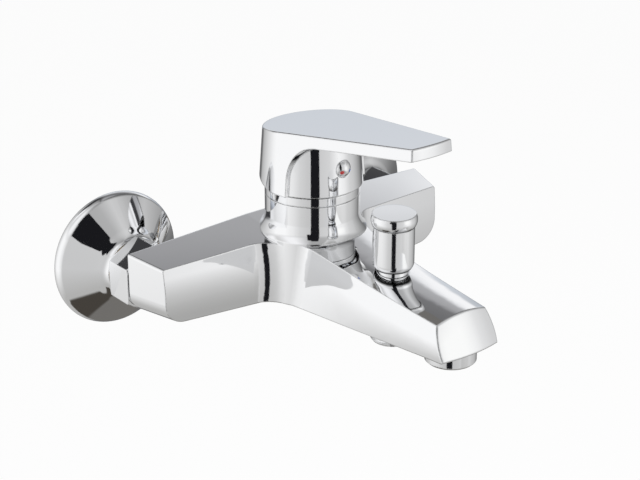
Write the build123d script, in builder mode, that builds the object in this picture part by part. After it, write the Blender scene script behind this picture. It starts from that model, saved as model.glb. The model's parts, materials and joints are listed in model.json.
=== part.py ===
from build123d import *
from math import acos, atan2, cos, hypot, radians, sin, sqrt, tan
import os

# Single lever bath and shower mixer on two wall supplies.
# Millimetres. Origin on the wall face, midway between the wall supplies.
# +X to the right seen from the front, +Y into the wall, +Z up.

# Wall supplies and unions
INLET_SPACING = 150.0
ECCENTRIC_RISE = 8.0
WALL_THREAD_R = 10.48
WALL_THREAD_LENGTH = 18.0
WALL_BORE_R = 7.0
UNION_THREAD_R = 13.22
UNION_BORE_R = 8.0
UNION_FRONT_Y = -31.0
UNION_NECK_Y = -11.0
UNION_SHOULDER_Y = -3.0
UNION_SHOULDER_R = 12.0

# Escutcheons
ESCUTCHEON_R = 34.0
ESCUTCHEON_RIM = 6.6
ESCUTCHEON_RIM_WIDEST = 3.4
ESCUTCHEON_WALL = 1.2
ESCUTCHEON_DEPTH = 20.5
ESCUTCHEON_NECK_WALL = 1.6
ESCUTCHEON_NECK_LENGTH = 5.0
ESCUTCHEON_RIM_TUCK = 1.3
ESCUTCHEON_CONE_ANGLE = 35.0
ESCUTCHEON_WAIST_R = 19.5
ESCUTCHEON_NECK_SLOPE = 0.1

# Union nuts, filter washers and tailpieces
NUT_ACROSS_FLATS = 31.0
NUT_BACK_Y = -22.4
NUT_FRONT_Y = -38.2
NUT_CORNER_BEVEL = 1.2
NUT_BEVEL_ANGLE = 30.0
NUT_TURN = 30.0
WASHER_THICKNESS = 2.0
TAILPIECE_COLLAR = 3.0
TAILPIECE_COLLAR_R = 12.4
TAILPIECE_NECK_R = 9.9
TAILPIECE_THREAD_R = 8.9
TAILPIECE_REACH = 6.5
INLET_BORE_DEPTH = 16.0
TAILPIECE_BORE_R = 6.2

# Fits
RUNNING_FIT = 0.08
THREAD_FIT = 0.1
SLIDING_FIT = 0.15
FACE_GAP = 0.05
LOOSE_FIT = 0.35

# Cutting tools reach past the piece that they trim
CUT_REACH = 1.2

# Softened outer edges
EDGE_R = 1.0

# Arms, measured at the front corner of the arm's end
ARM_BACK_Y = -39.0
ARM_END_X = 85.25
ARM_END_Y = -61.24
ARM_END_SLANT = 0.247
ARM_TOP = 15.55
ARM_TOP_SLOPE = 0.117
ARM_TOP_RISE = 0.04
ARM_BOTTOM = -12.8
ARM_FRONT_R = 105.0
ARM_FRONT_BOW = 1.0
ARM_ROOT_INSET = 5.6
ARM_ROOT_BOTTOM = -15.0
ARM_CORNER_R = 11.0
ARM_FRONT_SWEEP = 0.0895

# Tower and core
TOWER_Y = -65.8
TOWER_R = 23.23
TOWER_TOP = 36.14
CORE_STEP = 3.37
CORE_R = TOWER_R + CORE_STEP
CORE_BOTTOM = -14.2
FLARE_TOP = 26.0
FLARE_FOOT = 18.4
ARM_FILLET_R = 14.0
ROOT_FILLET_R = 16.0

# Spout stations: distance from the wall, half widths, edge height, underside, crown and flank bow
SPOUT_STATIONS = [
    (-64.0, CORE_R - 4.0, CORE_R - 1.0, 20.4, -14.5, 1.2, 0.02),
    (-84.0, CORE_R - 7.4, CORE_R - 4.6, 17.8, -14.4, 1.6, 0.02),
    (-122.0, 16.65, 19.3, 12.75, -12.2, 2.0, 0.9),
    (-150.0, 15.75, 18.1, 10.1, -9.9, 2.3, 1.2),
    (-186.0, 14.6, 16.9, 6.95, -7.3, 2.6, 1.3),
]

# Spout end: a face bowed about an upright axis and leaning forward
SPOUT_END_AXIS_Y = -107.0
SPOUT_END_TOP = (66.5, 8.19)
SPOUT_END_FOOT = (73.8, -7.82)
SPOUT_END_BULGE = 1.0
SPOUT_END_MARGIN = 8.0

# Waterways in the casting
CHANNEL_Y = -53.0
CHANNEL_R = 4.5
BRANCH_R = 3.4
PORT_X = 9.2
INLET_PORT_Y = -3.5
INLET_PORT_R = 2.9
OUTLET_PORT_Y = 8.0
OUTLET_PORT_R = 3.5
OUTLET_CHANNEL_R = 4.2
OUTLET_CHANNEL_Z = -4.5

# Cartridge
CHAMBER_FLOOR = 6.0
HOUSING_R = 17.5
HOUSING_SHOULDER = 30.5
HOUSING_NECK_R = 14.6
HOUSING_TOP = 42.5
HOUSING_WALL = 1.5
BASE_HEIGHT = 6.0
BASE_RING = 3.4
SEAL_HEIGHT = 1.6
SEAL_WALL = 1.3
FIXED_DISC_R = 14.0
FIXED_DISC_HEIGHT = 4.4
MOVING_DISC_R = 11.5
MOVING_DISC_HEIGHT = 3.7
DISC_REST_OFFSET = 3.0
DISC_RECESS = (16.0, 10.6)
DISC_RECESS_OFFSET = 2.65
DISC_RECESS_DEPTH = 1.4
DISC_RECESS_R = 4.0
CARRIER_HEIGHT = 4.4
CARRIER_HALF_WIDTH = 9.6
TURRET_FLANGE = 2.8
TURRET_R = 12.5
TURRET_TOP = 43.6
TURRET_TONGUE = 2.6
TURRET_TONGUE_LENGTH = 14.0
TURRET_SLOT_WIDTH = 9.0
NUT_THREAD_R = 18.5
NUT_HEX_HEIGHT = 4.0

# Lever motion
PIN_Z = 38.0
PIN_R = 2.0
LIFT_ANGLE = 25.0
SPINDLE_SIDE = 8.0
SPINDLE_TOP = 61.0
SPINDLE_HUB_BOTTOM = 32.5
SPINDLE_ARM_R = 2.4
SPINDLE_CORNER_R = 0.8
BALL_R = 3.0

# Cover under the lever
COVER_BOTTOM = 36.3
COVER_TOP = 41.0
COVER_WALL = 1.6
COVER_DOME_RISE = 4.4
COVER_DOME_FULLNESS = 0.72
COVER_EDGE = 0.5
COVER_OPENING_R = 15.6
COVER_RING_R = 0.9

# Lever handle
SKIRT_OVERHANG = 2.67
SKIRT_R = TOWER_R + SKIRT_OVERHANG
SKIRT_BOTTOM = 41.5
SKIRT_DRAFT = 4.0
SKIRT_WALL = 2.25
SKIRT_RELIEF_ANGLE = 13.3
CAVITY_TOP = 63.0
LEVER_TIP_Y = -150.0
LEVER_TIP_Z = 84.0
LEVER_SLOPE = 0.145
LEVER_THICKNESS = 5.9
LEVER_TIP_HALF_WIDTH = 11.7
LEVER_TIP_BOW = 1.2
FRONT_INSET = 1.2
LEVER_ARCH_R = 20.0
LEVER_ARCH_Y = TOWER_Y - 10.2
LEVER_ROOT_R = 4.0
LEVER_ROOT_DROP = 1.5
LEVER_ROOT_SLOPE = 0.5
BOSS_R = 8.4
BOSS_BOTTOM = 50.0

# Index button and set screw
BUTTON_Z = 54.2
BUTTON_R = 4.2
BUTTON_DEPTH = 2.4
BUTTON_DOME = 2.4
MARK_R = 0.95
MARK_X = 2.3
MARK_Z = -0.8
MARK_DEPTH = 2.0
SCREW_R = 2.5
SCREW_LENGTH = 5.0
SCREW_KEY = 2.5

# Diverter
DIVERTER_Y = -125.9
DIVERTER_TRAVEL = 6.0
DIVERTER_BORE_R = 8.45
DIVERTER_ORIFICE_R = 4.6
DIVERTER_WEB = 2.0
GLAND_THREAD_R = 6.5
GLAND_THREAD_LENGTH = 4.2
GLAND_SEAT = 13.4
GLAND_R = 7.2
GLAND_TOP = 21.5
STEM_R = 3.0
GLAND_RING_WALL = 1.5
GLAND_RING_HEIGHT = 2.0
GLAND_RING_Z = 16.5
GLAND_BEVEL = 0.8
KNOB_TOP = 43.5
KNOB_CAP_R = 11.0
KNOB_FACE_R = 10.3
KNOB_CAP_BOTTOM = 37.4
KNOB_CAP_SHOULDER = 2.3
KNOB_CAP_LIP = 0.3
KNOB_R = 9.8
KNOB_BOTTOM = 16.2
KNOB_FOOT_R = 8.4
KNOB_FOOT_BEVEL = 3.4
KNOB_BORE_TOP = 30.0
STEM_TOP = 38.0
VALVE_R = 7.6
VALVE_PLATE = 1.0
VALVE_SEAL = 1.3
SPOUT_CHANNEL_R = 3.0
SPOUT_CHANNEL_Z = 8.0
SPOUT_CHANNEL_FALL = 7.0

# Shower outlet
OUTLET_THREAD_R = 10.48
OUTLET_COLLAR_R = 11.2
OUTLET_COLLAR = 2.0
OUTLET_BOTTOM = -20.6
OUTLET_SEAT = -11.0
OUTLET_SPIGOT = 4.0
OUTLET_BORE_R = 6.4
OUTLET_ORIFICE_R = 4.4
OUTLET_LIP = 1.6
OUTLET_RING = 1.2
OUTLET_BEVEL = 0.9
CHECK_VALVE_LENGTH = 8.4
CHECK_VALVE_BORE_R = 4.2
CHECK_VALVE_HUB_R = 1.6
SPOKE = 1.0

# Aerator
AERATOR_Y = -166.3
AERATOR_R = 11.95
AERATOR_BOTTOM = -15.35
AERATOR_SEAT = -8.0
AERATOR_THREAD_R = 10.7
AERATOR_THREAD = 4.6
AERATOR_BORE_R = 9.4
AERATOR_LIP_R = 8.4
AERATOR_LIP = 1.4
AERATOR_BEVEL = 0.8
AERATOR_GASKET = 1.4
AERATOR_RECESS_R = 6.4
AERATOR_RECESS_TOP = 2.5
AERATOR_JET_R = 1.15
AERATOR_JET_PITCH = 1.62
AERATOR_JET_ROWS = 5
AERATOR_JET_DEPTH = 3.0
AERATOR_INSERT_HEIGHT = 8.0

AXIS_Z = ECCENTRIC_RISE
INLET_X = INLET_SPACING / 2
TOWER_AXIS = Axis((0, TOWER_Y, 0), (0, 0, 1))
DIVERTER_AXIS = Axis((0, DIVERTER_Y, 0), (0, 0, 1))
AERATOR_AXIS = Axis((0, AERATOR_Y, 0), (0, 0, 1))


def level(z, x=0, y=0):
    """Horizontal plane at a height above the inlet axis."""
    return Plane(origin=(x, y, AXIS_Z + z))


def upright(y, x=0, z=0):
    """Plane facing the user: local x is +X, local y is up."""
    return Plane(origin=(x, y, AXIS_Z + z), x_dir=(1, 0, 0), z_dir=(0, -1, 0))


def sideways(x):
    """Plane facing +X: local x is +Y, local y is up."""
    return Plane(origin=(x, 0, AXIS_Z), x_dir=(0, 1, 0), z_dir=(1, 0, 0))


def outline(plane, *points):
    """Closed straight outline on a plane."""
    with BuildSketch(plane) as sketch:
        with BuildLine():
            Polyline(*points, close=True)
        make_face()
    return sketch.sketch


def ring(plane, outer, inner):
    """Flat ring on a plane."""
    with BuildSketch(plane) as sketch:
        Circle(outer)
        Circle(inner, mode=Mode.SUBTRACT)
    return sketch.sketch


def disc(plane, radius):
    """Round face on a plane."""
    with BuildSketch(plane) as sketch:
        Circle(radius)
    return sketch.sketch


def save(builder, label):
    """Label a finished piece and write it out."""
    builder.part.label = label
    export_step(builder.part, f"parts/{label}.step")


os.makedirs("parts", exist_ok=True)

# Diverter heights: the valve lifts from the outlet's seat to the ceiling of its chamber
seat_z = OUTLET_SEAT + OUTLET_SPIGOT
plate_bottom = seat_z + FACE_GAP + VALVE_SEAL
plate_top = plate_bottom + VALVE_PLATE
diverter_ceiling = plate_top + VALVE_SEAL + DIVERTER_TRAVEL + LOOSE_FIT
web_top = diverter_ceiling + DIVERTER_WEB


# Body: arms
arm_root_x = CORE_R - ARM_ROOT_INSET


def arm_section(y):
    """Outline of both arms on the upright plane at a distance from the wall."""
    end_x = ARM_END_X + (y - ARM_END_Y) * ARM_END_SLANT
    top = ARM_TOP + (y - ARM_END_Y) * ARM_TOP_SLOPE
    root_top = top + (end_x - arm_root_x) * ARM_TOP_RISE
    with BuildSketch(upright(y)) as sketch:
        with BuildLine():
            Polyline(
                (arm_root_x, root_top),
                (end_x, top),
                (end_x, ARM_BOTTOM),
                (arm_root_x, ARM_ROOT_BOTTOM),
                (-arm_root_x, ARM_ROOT_BOTTOM),
                (-end_x, ARM_BOTTOM),
                (-end_x, top),
                (-arm_root_x, root_top),
                close=True,
            )
        make_face()
        fillet(sketch.vertices().filter_by(lambda v: v.Y == ARM_BOTTOM), ARM_CORNER_R)
    return sketch.sketch


arm_reach_y = ARM_END_Y - ARM_END_X * ARM_FRONT_SWEEP
with BuildPart() as arms:
    loft([arm_section(ARM_BACK_Y), arm_section(arm_reach_y - ARM_FRONT_BOW)])
    # Front faces, bowed in height, sweep forward to the middle
    for hand in (-1, 1):
        front = Plane(origin=(-hand * EDGE_R, arm_reach_y - EDGE_R * ARM_FRONT_SWEEP, AXIS_Z),
                      x_dir=(hand * ARM_FRONT_SWEEP, -1, 0), z_dir=(-1, -hand * ARM_FRONT_SWEEP, 0))
        with BuildSketch(front):
            Rectangle(ARM_FRONT_R, 3 * ARM_TOP)
            with Locations((ARM_FRONT_BOW - ARM_FRONT_R, 0)):
                Circle(ARM_FRONT_R, mode=Mode.SUBTRACT)
        extrude(amount=-hand * CUT_REACH * ARM_END_X, mode=Mode.SUBTRACT)
    # Edges of the back and of both ends
    soft_edges = arms.faces().sort_by(Axis.Y)[-1].edges()
    for hand in (-1, 1):
        end_top = (hand * ARM_END_X, (ARM_BACK_Y + ARM_END_Y) / 2, AXIS_Z + ARM_TOP)
        soft_edges.append(arms.edges().sort_by_distance(end_top)[0])
    fillet(soft_edges, EDGE_R)


# Body: spout
def spout_section(y, top_half, foot_half, edge_z, foot_z, crown, bow):
    """Crowned outline of the spout at one station."""
    with BuildSketch(upright(y)) as sketch:
        with BuildLine():
            flank_x = (top_half + foot_half) / 2 + bow
            flank_z = (edge_z + foot_z) / 2
            ThreePointArc((top_half, edge_z), (flank_x, flank_z), (foot_half, foot_z))
            Line((foot_half, foot_z), (-foot_half, foot_z))
            ThreePointArc((-foot_half, foot_z), (-flank_x, flank_z), (-top_half, edge_z))
            ThreePointArc((-top_half, edge_z), (0, edge_z + crown), (top_half, edge_z))
        make_face()
    return sketch.sketch


end_mid_r = (SPOUT_END_TOP[0] + SPOUT_END_FOOT[0]) / 2 + SPOUT_END_BULGE
end_mid_z = (SPOUT_END_TOP[1] + SPOUT_END_FOOT[1]) / 2
end_lean = (SPOUT_END_FOOT[0] - SPOUT_END_TOP[0]) / (SPOUT_END_TOP[1] - SPOUT_END_FOOT[1])
with BuildPart() as spout_end:
    with BuildSketch(level(SPOUT_END_FOOT[1] - SPOUT_END_MARGIN)):
        with Locations((0, SPOUT_END_AXIS_Y - SPOUT_END_FOOT[0])):
            Rectangle(4 * SPOUT_STATIONS[0][2], SPOUT_END_FOOT[0])
    extrude(amount=SPOUT_END_TOP[1] - SPOUT_END_FOOT[1] + 2 * SPOUT_END_MARGIN)
    with BuildSketch(upright(SPOUT_END_AXIS_Y)):
        with BuildLine():
            reach_top = SPOUT_END_TOP[0] - SPOUT_END_MARGIN * end_lean
            reach_foot = SPOUT_END_FOOT[0] + SPOUT_END_MARGIN * end_lean
            high = SPOUT_END_TOP[1] + SPOUT_END_MARGIN
            low = SPOUT_END_FOOT[1] - SPOUT_END_MARGIN
            Polyline((reach_foot, low), (0, low), (0, high), (reach_top, high))
            ThreePointArc((reach_top, high), (end_mid_r, end_mid_z), (reach_foot, low))
        make_face()
    revolve(axis=Axis((0, SPOUT_END_AXIS_Y, 0), (0, 0, 1)), mode=Mode.SUBTRACT)

with BuildPart() as spout:
    loft([spout_section(*station) for station in SPOUT_STATIONS])
    add(spout_end.part, mode=Mode.SUBTRACT)

# Body: tower, core, the joined casting and its waterways
with BuildPart() as body:
    with BuildSketch(upright(TOWER_Y)):
        with BuildLine():
            Polyline((TOWER_R, TOWER_TOP), (0, TOWER_TOP), (0, CORE_BOTTOM), (CORE_R, CORE_BOTTOM))
            Line((CORE_R, CORE_BOTTOM), (CORE_R, FLARE_FOOT))
            TangentArc((TOWER_R, FLARE_TOP), (CORE_R, FLARE_FOOT), tangent=(0, -1))
            Line((TOWER_R, FLARE_TOP), (TOWER_R, TOWER_TOP))
        make_face()
    revolve(axis=TOWER_AXIS)
    add(arms.part)
    add(spout.part)
    # Spout flanks and arms run into the core
    flank_x = (SPOUT_STATIONS[1][1] + SPOUT_STATIONS[1][2]) / 2
    flank_y = TOWER_Y - sqrt(CORE_R ** 2 - flank_x ** 2)
    front_y = ARM_END_Y - (ARM_END_X - CORE_R) * ARM_FRONT_SWEEP - ARM_FRONT_BOW
    for join_x, join_y, radius in ((flank_x, flank_y, ROOT_FILLET_R), (CORE_R, front_y, ARM_FILLET_R)):
        joins = [(hand * join_x, join_y, AXIS_Z) for hand in (-1, 1)]
        fillet([body.edges().sort_by_distance(join)[0] for join in joins], radius)
    # Edges of the spout's end
    corner_x = (SPOUT_STATIONS[-1][1] + SPOUT_STATIONS[-1][2]) / 2 + SPOUT_STATIONS[-1][6]
    end_spots = [
        (0, SPOUT_END_AXIS_Y - SPOUT_END_TOP[0], SPOUT_END_TOP[1] + SPOUT_STATIONS[-1][5]),
        (0, SPOUT_END_AXIS_Y - SPOUT_END_FOOT[0], SPOUT_END_FOOT[1]),
        (corner_x, SPOUT_END_AXIS_Y - end_mid_r, end_mid_z),
        (-corner_x, SPOUT_END_AXIS_Y - end_mid_r, end_mid_z),
    ]
    fillet([body.edges().sort_by_distance((x, y, AXIS_Z + z))[0] for x, y, z in end_spots], EDGE_R)
    # Cartridge chamber and the thread of its nut
    extrude(disc(level(CHAMBER_FLOOR, y=TOWER_Y), HOUSING_R + SLIDING_FIT),
            amount=TOWER_TOP - CHAMBER_FLOOR, mode=Mode.SUBTRACT)
    extrude(disc(level(HOUSING_SHOULDER, y=TOWER_Y), NUT_THREAD_R + THREAD_FIT),
            amount=TOWER_TOP - HOUSING_SHOULDER, mode=Mode.SUBTRACT)
    # Inlet ways from each arm to the chamber floor
    inlet_port_y = TOWER_Y + INLET_PORT_Y
    for hand in (-1, 1):
        extrude(disc(upright(ARM_BACK_Y, x=hand * INLET_X), TAILPIECE_THREAD_R + THREAD_FIT),
                amount=INLET_BORE_DEPTH, mode=Mode.SUBTRACT)
        channel = Plane(origin=(hand * PORT_X, CHANNEL_Y, AXIS_Z), z_dir=(hand, 0, 0))
        extrude(disc(channel, CHANNEL_R), amount=INLET_X - PORT_X, mode=Mode.SUBTRACT)
        extrude(disc(upright(CHANNEL_Y, x=hand * PORT_X), BRANCH_R),
                amount=CHANNEL_Y - inlet_port_y, mode=Mode.SUBTRACT)
        extrude(disc(level(0, hand * PORT_X, inlet_port_y), INLET_PORT_R),
                amount=CHAMBER_FLOOR, mode=Mode.SUBTRACT)
    # Mixed water way to the diverter
    outlet_port_y = TOWER_Y + OUTLET_PORT_Y
    extrude(disc(level(OUTLET_CHANNEL_Z, 0, outlet_port_y), OUTLET_PORT_R),
            amount=CHAMBER_FLOOR - OUTLET_CHANNEL_Z, mode=Mode.SUBTRACT)
    extrude(disc(upright(outlet_port_y, z=OUTLET_CHANNEL_Z), OUTLET_CHANNEL_R),
            amount=outlet_port_y - DIVERTER_Y, mode=Mode.SUBTRACT)
    # Diverter chamber with its web, gland seat and shower outlet seat
    extrude(disc(level(OUTLET_BOTTOM, y=DIVERTER_Y), DIVERTER_BORE_R),
            amount=diverter_ceiling - OUTLET_BOTTOM, mode=Mode.SUBTRACT)
    extrude(disc(level(diverter_ceiling, y=DIVERTER_Y), DIVERTER_ORIFICE_R),
            amount=DIVERTER_WEB, mode=Mode.SUBTRACT)
    extrude(disc(level(web_top, y=DIVERTER_Y), GLAND_THREAD_R + THREAD_FIT),
            amount=GLAND_TOP - web_top, mode=Mode.SUBTRACT)
    extrude(disc(level(GLAND_SEAT, y=DIVERTER_Y), GLAND_R + LOOSE_FIT),
            amount=GLAND_TOP - GLAND_SEAT, mode=Mode.SUBTRACT)
    extrude(disc(level(OUTLET_BOTTOM, y=DIVERTER_Y), OUTLET_COLLAR_R + LOOSE_FIT),
            amount=OUTLET_SEAT - OUTLET_BOTTOM, mode=Mode.SUBTRACT)
    # Way from the diverter to the aerator
    fall = Plane(origin=(0, DIVERTER_Y, AXIS_Z + SPOUT_CHANNEL_Z),
                 z_dir=(0, AERATOR_Y - DIVERTER_Y, -SPOUT_CHANNEL_FALL))
    extrude(disc(fall, SPOUT_CHANNEL_R), amount=DIVERTER_Y - AERATOR_Y, mode=Mode.SUBTRACT)
    aerator_ceiling = AERATOR_SEAT + AERATOR_THREAD + AERATOR_GASKET + FACE_GAP
    extrude(disc(level(AERATOR_BOTTOM, y=AERATOR_Y), AERATOR_R + LOOSE_FIT),
            amount=AERATOR_SEAT - AERATOR_BOTTOM, mode=Mode.SUBTRACT)
    extrude(disc(level(AERATOR_SEAT, y=AERATOR_Y), AERATOR_THREAD_R + THREAD_FIT),
            amount=aerator_ceiling - AERATOR_SEAT, mode=Mode.SUBTRACT)
    extrude(disc(level(aerator_ceiling, y=AERATOR_Y), AERATOR_RECESS_R),
            amount=AERATOR_RECESS_TOP - aerator_ceiling, mode=Mode.SUBTRACT)
save(body, "body")

# Inlets, one set at each arm
washer_front_y = UNION_FRONT_Y - WASHER_THICKNESS
collar_front_y = washer_front_y - TAILPIECE_COLLAR
nut_corner_r = NUT_ACROSS_FLATS / sqrt(3)


def make_inlet(side_name, x):
    """Wall union, escutcheon, filter washer, tailpiece and union nut of one side."""
    inlet_axis = Axis((x, 0, AXIS_Z), (0, 1, 0))

    with BuildPart() as union:
        extrude(disc(upright(UNION_NECK_Y, x), UNION_THREAD_R), amount=UNION_NECK_Y - UNION_FRONT_Y)
        loft([
            disc(upright(UNION_NECK_Y, x), UNION_THREAD_R),
            disc(upright(UNION_SHOULDER_Y, x, -ECCENTRIC_RISE), UNION_SHOULDER_R),
        ])
        extrude(disc(upright(WALL_THREAD_LENGTH, x, -ECCENTRIC_RISE), WALL_THREAD_R),
                amount=WALL_THREAD_LENGTH - UNION_SHOULDER_Y)
        bend = (UNION_NECK_Y + UNION_SHOULDER_Y) / 2
        overlap = (UNION_SHOULDER_Y - UNION_NECK_Y) / 4
        extrude(disc(upright(bend + overlap, x), UNION_BORE_R),
                amount=bend + overlap - UNION_FRONT_Y, mode=Mode.SUBTRACT)
        extrude(disc(upright(WALL_THREAD_LENGTH, x, -ECCENTRIC_RISE), WALL_BORE_R),
                amount=WALL_THREAD_LENGTH - bend + overlap, mode=Mode.SUBTRACT)
    save(union, f"wall_union_{side_name}")

    neck_in = UNION_THREAD_R + THREAD_FIT
    neck_out = neck_in + ESCUTCHEON_NECK_WALL
    rim_r = ESCUTCHEON_R - ESCUTCHEON_RIM_TUCK
    rim_in = rim_r - ESCUTCHEON_WALL
    cone_rise = tan(radians(ESCUTCHEON_CONE_ANGLE))
    waist_y = -ESCUTCHEON_RIM - (rim_r - ESCUTCHEON_WAIST_R) * cone_rise
    cone_in_y = -ESCUTCHEON_RIM + ESCUTCHEON_WALL
    with BuildPart() as escutcheon:
        with BuildSketch(sideways(x)):
            with BuildLine():
                Line((0, rim_in), (0, rim_r))
                ThreePointArc((0, rim_r), (-ESCUTCHEON_RIM_WIDEST, ESCUTCHEON_R), (-ESCUTCHEON_RIM, rim_r))
                Line((-ESCUTCHEON_RIM, rim_r), (waist_y, ESCUTCHEON_WAIST_R))
                Spline((waist_y, ESCUTCHEON_WAIST_R), (-ESCUTCHEON_DEPTH, neck_out),
                       tangents=[(-cone_rise, -1), (-1, -ESCUTCHEON_NECK_SLOPE)])
                Polyline((-ESCUTCHEON_DEPTH, neck_out), (-ESCUTCHEON_DEPTH, neck_in),
                         (-ESCUTCHEON_DEPTH + ESCUTCHEON_NECK_LENGTH, neck_in),
                         (cone_in_y, rim_in), (0, rim_in))
            make_face()
        revolve(axis=inlet_axis)
    save(escutcheon, f"escutcheon_{side_name}")

    with BuildPart() as washer:
        extrude(ring(upright(UNION_FRONT_Y, x), TAILPIECE_COLLAR_R, TAILPIECE_BORE_R),
                amount=WASHER_THICKNESS)
    save(washer, f"filter_washer_{side_name}")

    with BuildPart() as tailpiece:
        revolve(outline(
            sideways(x),
            (washer_front_y, TAILPIECE_BORE_R), (washer_front_y, TAILPIECE_COLLAR_R),
            (collar_front_y, TAILPIECE_COLLAR_R), (collar_front_y, TAILPIECE_NECK_R),
            (ARM_BACK_Y, TAILPIECE_NECK_R), (ARM_BACK_Y, TAILPIECE_THREAD_R),
            (ARM_BACK_Y - TAILPIECE_REACH, TAILPIECE_THREAD_R),
            (ARM_BACK_Y - TAILPIECE_REACH, TAILPIECE_BORE_R),
        ), axis=inlet_axis)
    save(tailpiece, f"tailpiece_{side_name}")

    with BuildPart() as nut:
        with BuildSketch(upright(NUT_BACK_Y, x)):
            RegularPolygon(nut_corner_r, 6, rotation=NUT_TURN)
        extrude(amount=NUT_BACK_Y - NUT_FRONT_Y)
        # Corners bevelled at both ends
        bevelled_r = nut_corner_r - NUT_CORNER_BEVEL
        bevel_length = NUT_CORNER_BEVEL * tan(radians(NUT_BEVEL_ANGLE))
        revolve(outline(
            sideways(x),
            (NUT_BACK_Y, 0), (NUT_BACK_Y, bevelled_r), (NUT_BACK_Y - bevel_length, nut_corner_r),
            (NUT_FRONT_Y + bevel_length, nut_corner_r), (NUT_FRONT_Y, bevelled_r), (NUT_FRONT_Y, 0),
        ), axis=inlet_axis, mode=Mode.INTERSECT)
        extrude(disc(upright(NUT_BACK_Y, x), UNION_THREAD_R + LOOSE_FIT),
                amount=NUT_BACK_Y - collar_front_y + FACE_GAP, mode=Mode.SUBTRACT)
        extrude(disc(upright(NUT_BACK_Y, x), TAILPIECE_NECK_R + LOOSE_FIT),
                amount=NUT_BACK_Y - NUT_FRONT_Y, mode=Mode.SUBTRACT)
    save(nut, f"union_nut_{side_name}")


for side_name, hand in (("left", -1), ("right", 1)):
    make_inlet(side_name, hand * INLET_X)

# Cartridge, from the chamber floor up
base_top = CHAMBER_FLOOR + BASE_HEIGHT
fixed_top = base_top + FIXED_DISC_HEIGHT
moving_bottom = fixed_top + FACE_GAP
moving_top = moving_bottom + MOVING_DISC_HEIGHT
carrier_top = moving_top + CARRIER_HEIGHT
turret_bottom = carrier_top + SLIDING_FIT
flange_top = turret_bottom + TURRET_FLANGE
housing_bore_r = HOUSING_R - HOUSING_WALL
ball_z = moving_top + BALL_R + LOOSE_FIT
ports = [
    (-PORT_X, INLET_PORT_Y, INLET_PORT_R),
    (PORT_X, INLET_PORT_Y, INLET_PORT_R),
    (0, OUTLET_PORT_Y, OUTLET_PORT_R),
]


def port_disc(z, x, y, radius):
    """Round face of one water port at a height in the cartridge."""
    return disc(level(z, x, TOWER_Y + y), radius)


with BuildPart() as cartridge_base:
    extrude(disc(level(CHAMBER_FLOOR, y=TOWER_Y), HOUSING_R), amount=BASE_HEIGHT)
    extrude(ring(level(base_top, y=TOWER_Y), housing_bore_r - THREAD_FIT, FIXED_DISC_R + THREAD_FIT),
            amount=BASE_RING)
    for x, y, radius in ports:
        extrude(port_disc(CHAMBER_FLOOR, x, y, radius), amount=BASE_HEIGHT, mode=Mode.SUBTRACT)
        extrude(port_disc(CHAMBER_FLOOR, x, y, radius + SEAL_WALL + FACE_GAP),
                amount=SEAL_HEIGHT, mode=Mode.SUBTRACT)
save(cartridge_base, "cartridge_base")

with BuildPart() as base_seals:
    for x, y, radius in ports:
        extrude(ring(level(CHAMBER_FLOOR, x, TOWER_Y + y), radius + SEAL_WALL, radius), amount=SEAL_HEIGHT)
save(base_seals, "base_seals")

with BuildPart() as fixed_disc:
    extrude(disc(level(base_top, y=TOWER_Y), FIXED_DISC_R), amount=FIXED_DISC_HEIGHT)
    for x, y, radius in ports:
        extrude(port_disc(base_top, x, y, radius), amount=FIXED_DISC_HEIGHT, mode=Mode.SUBTRACT)
save(fixed_disc, "fixed_disc")

disc_y = TOWER_Y + DISC_REST_OFFSET
with BuildPart() as moving_disc:
    extrude(disc(level(moving_bottom, y=disc_y), MOVING_DISC_R), amount=MOVING_DISC_HEIGHT)
    # Mixing recess in the underside
    with BuildSketch(level(moving_bottom, y=disc_y + DISC_RECESS_OFFSET)):
        RectangleRounded(*DISC_RECESS, DISC_RECESS_R)
    extrude(amount=DISC_RECESS_DEPTH, mode=Mode.SUBTRACT)
save(moving_disc, "moving_disc")

with BuildPart() as disc_carrier:
    with BuildSketch(level(moving_top, y=disc_y)):
        Circle(MOVING_DISC_R)
        Rectangle(2 * CARRIER_HALF_WIDTH, 2 * MOVING_DISC_R, mode=Mode.INTERSECT)
    extrude(amount=CARRIER_HEIGHT)
    # Slot for the spindle's ball
    with BuildSketch(level(moving_top, y=TOWER_Y)):
        Rectangle(2 * (BALL_R + LOOSE_FIT), 2 * (BALL_R + SLIDING_FIT))
    extrude(amount=CARRIER_HEIGHT, mode=Mode.SUBTRACT)
save(disc_carrier, "disc_carrier")

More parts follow.
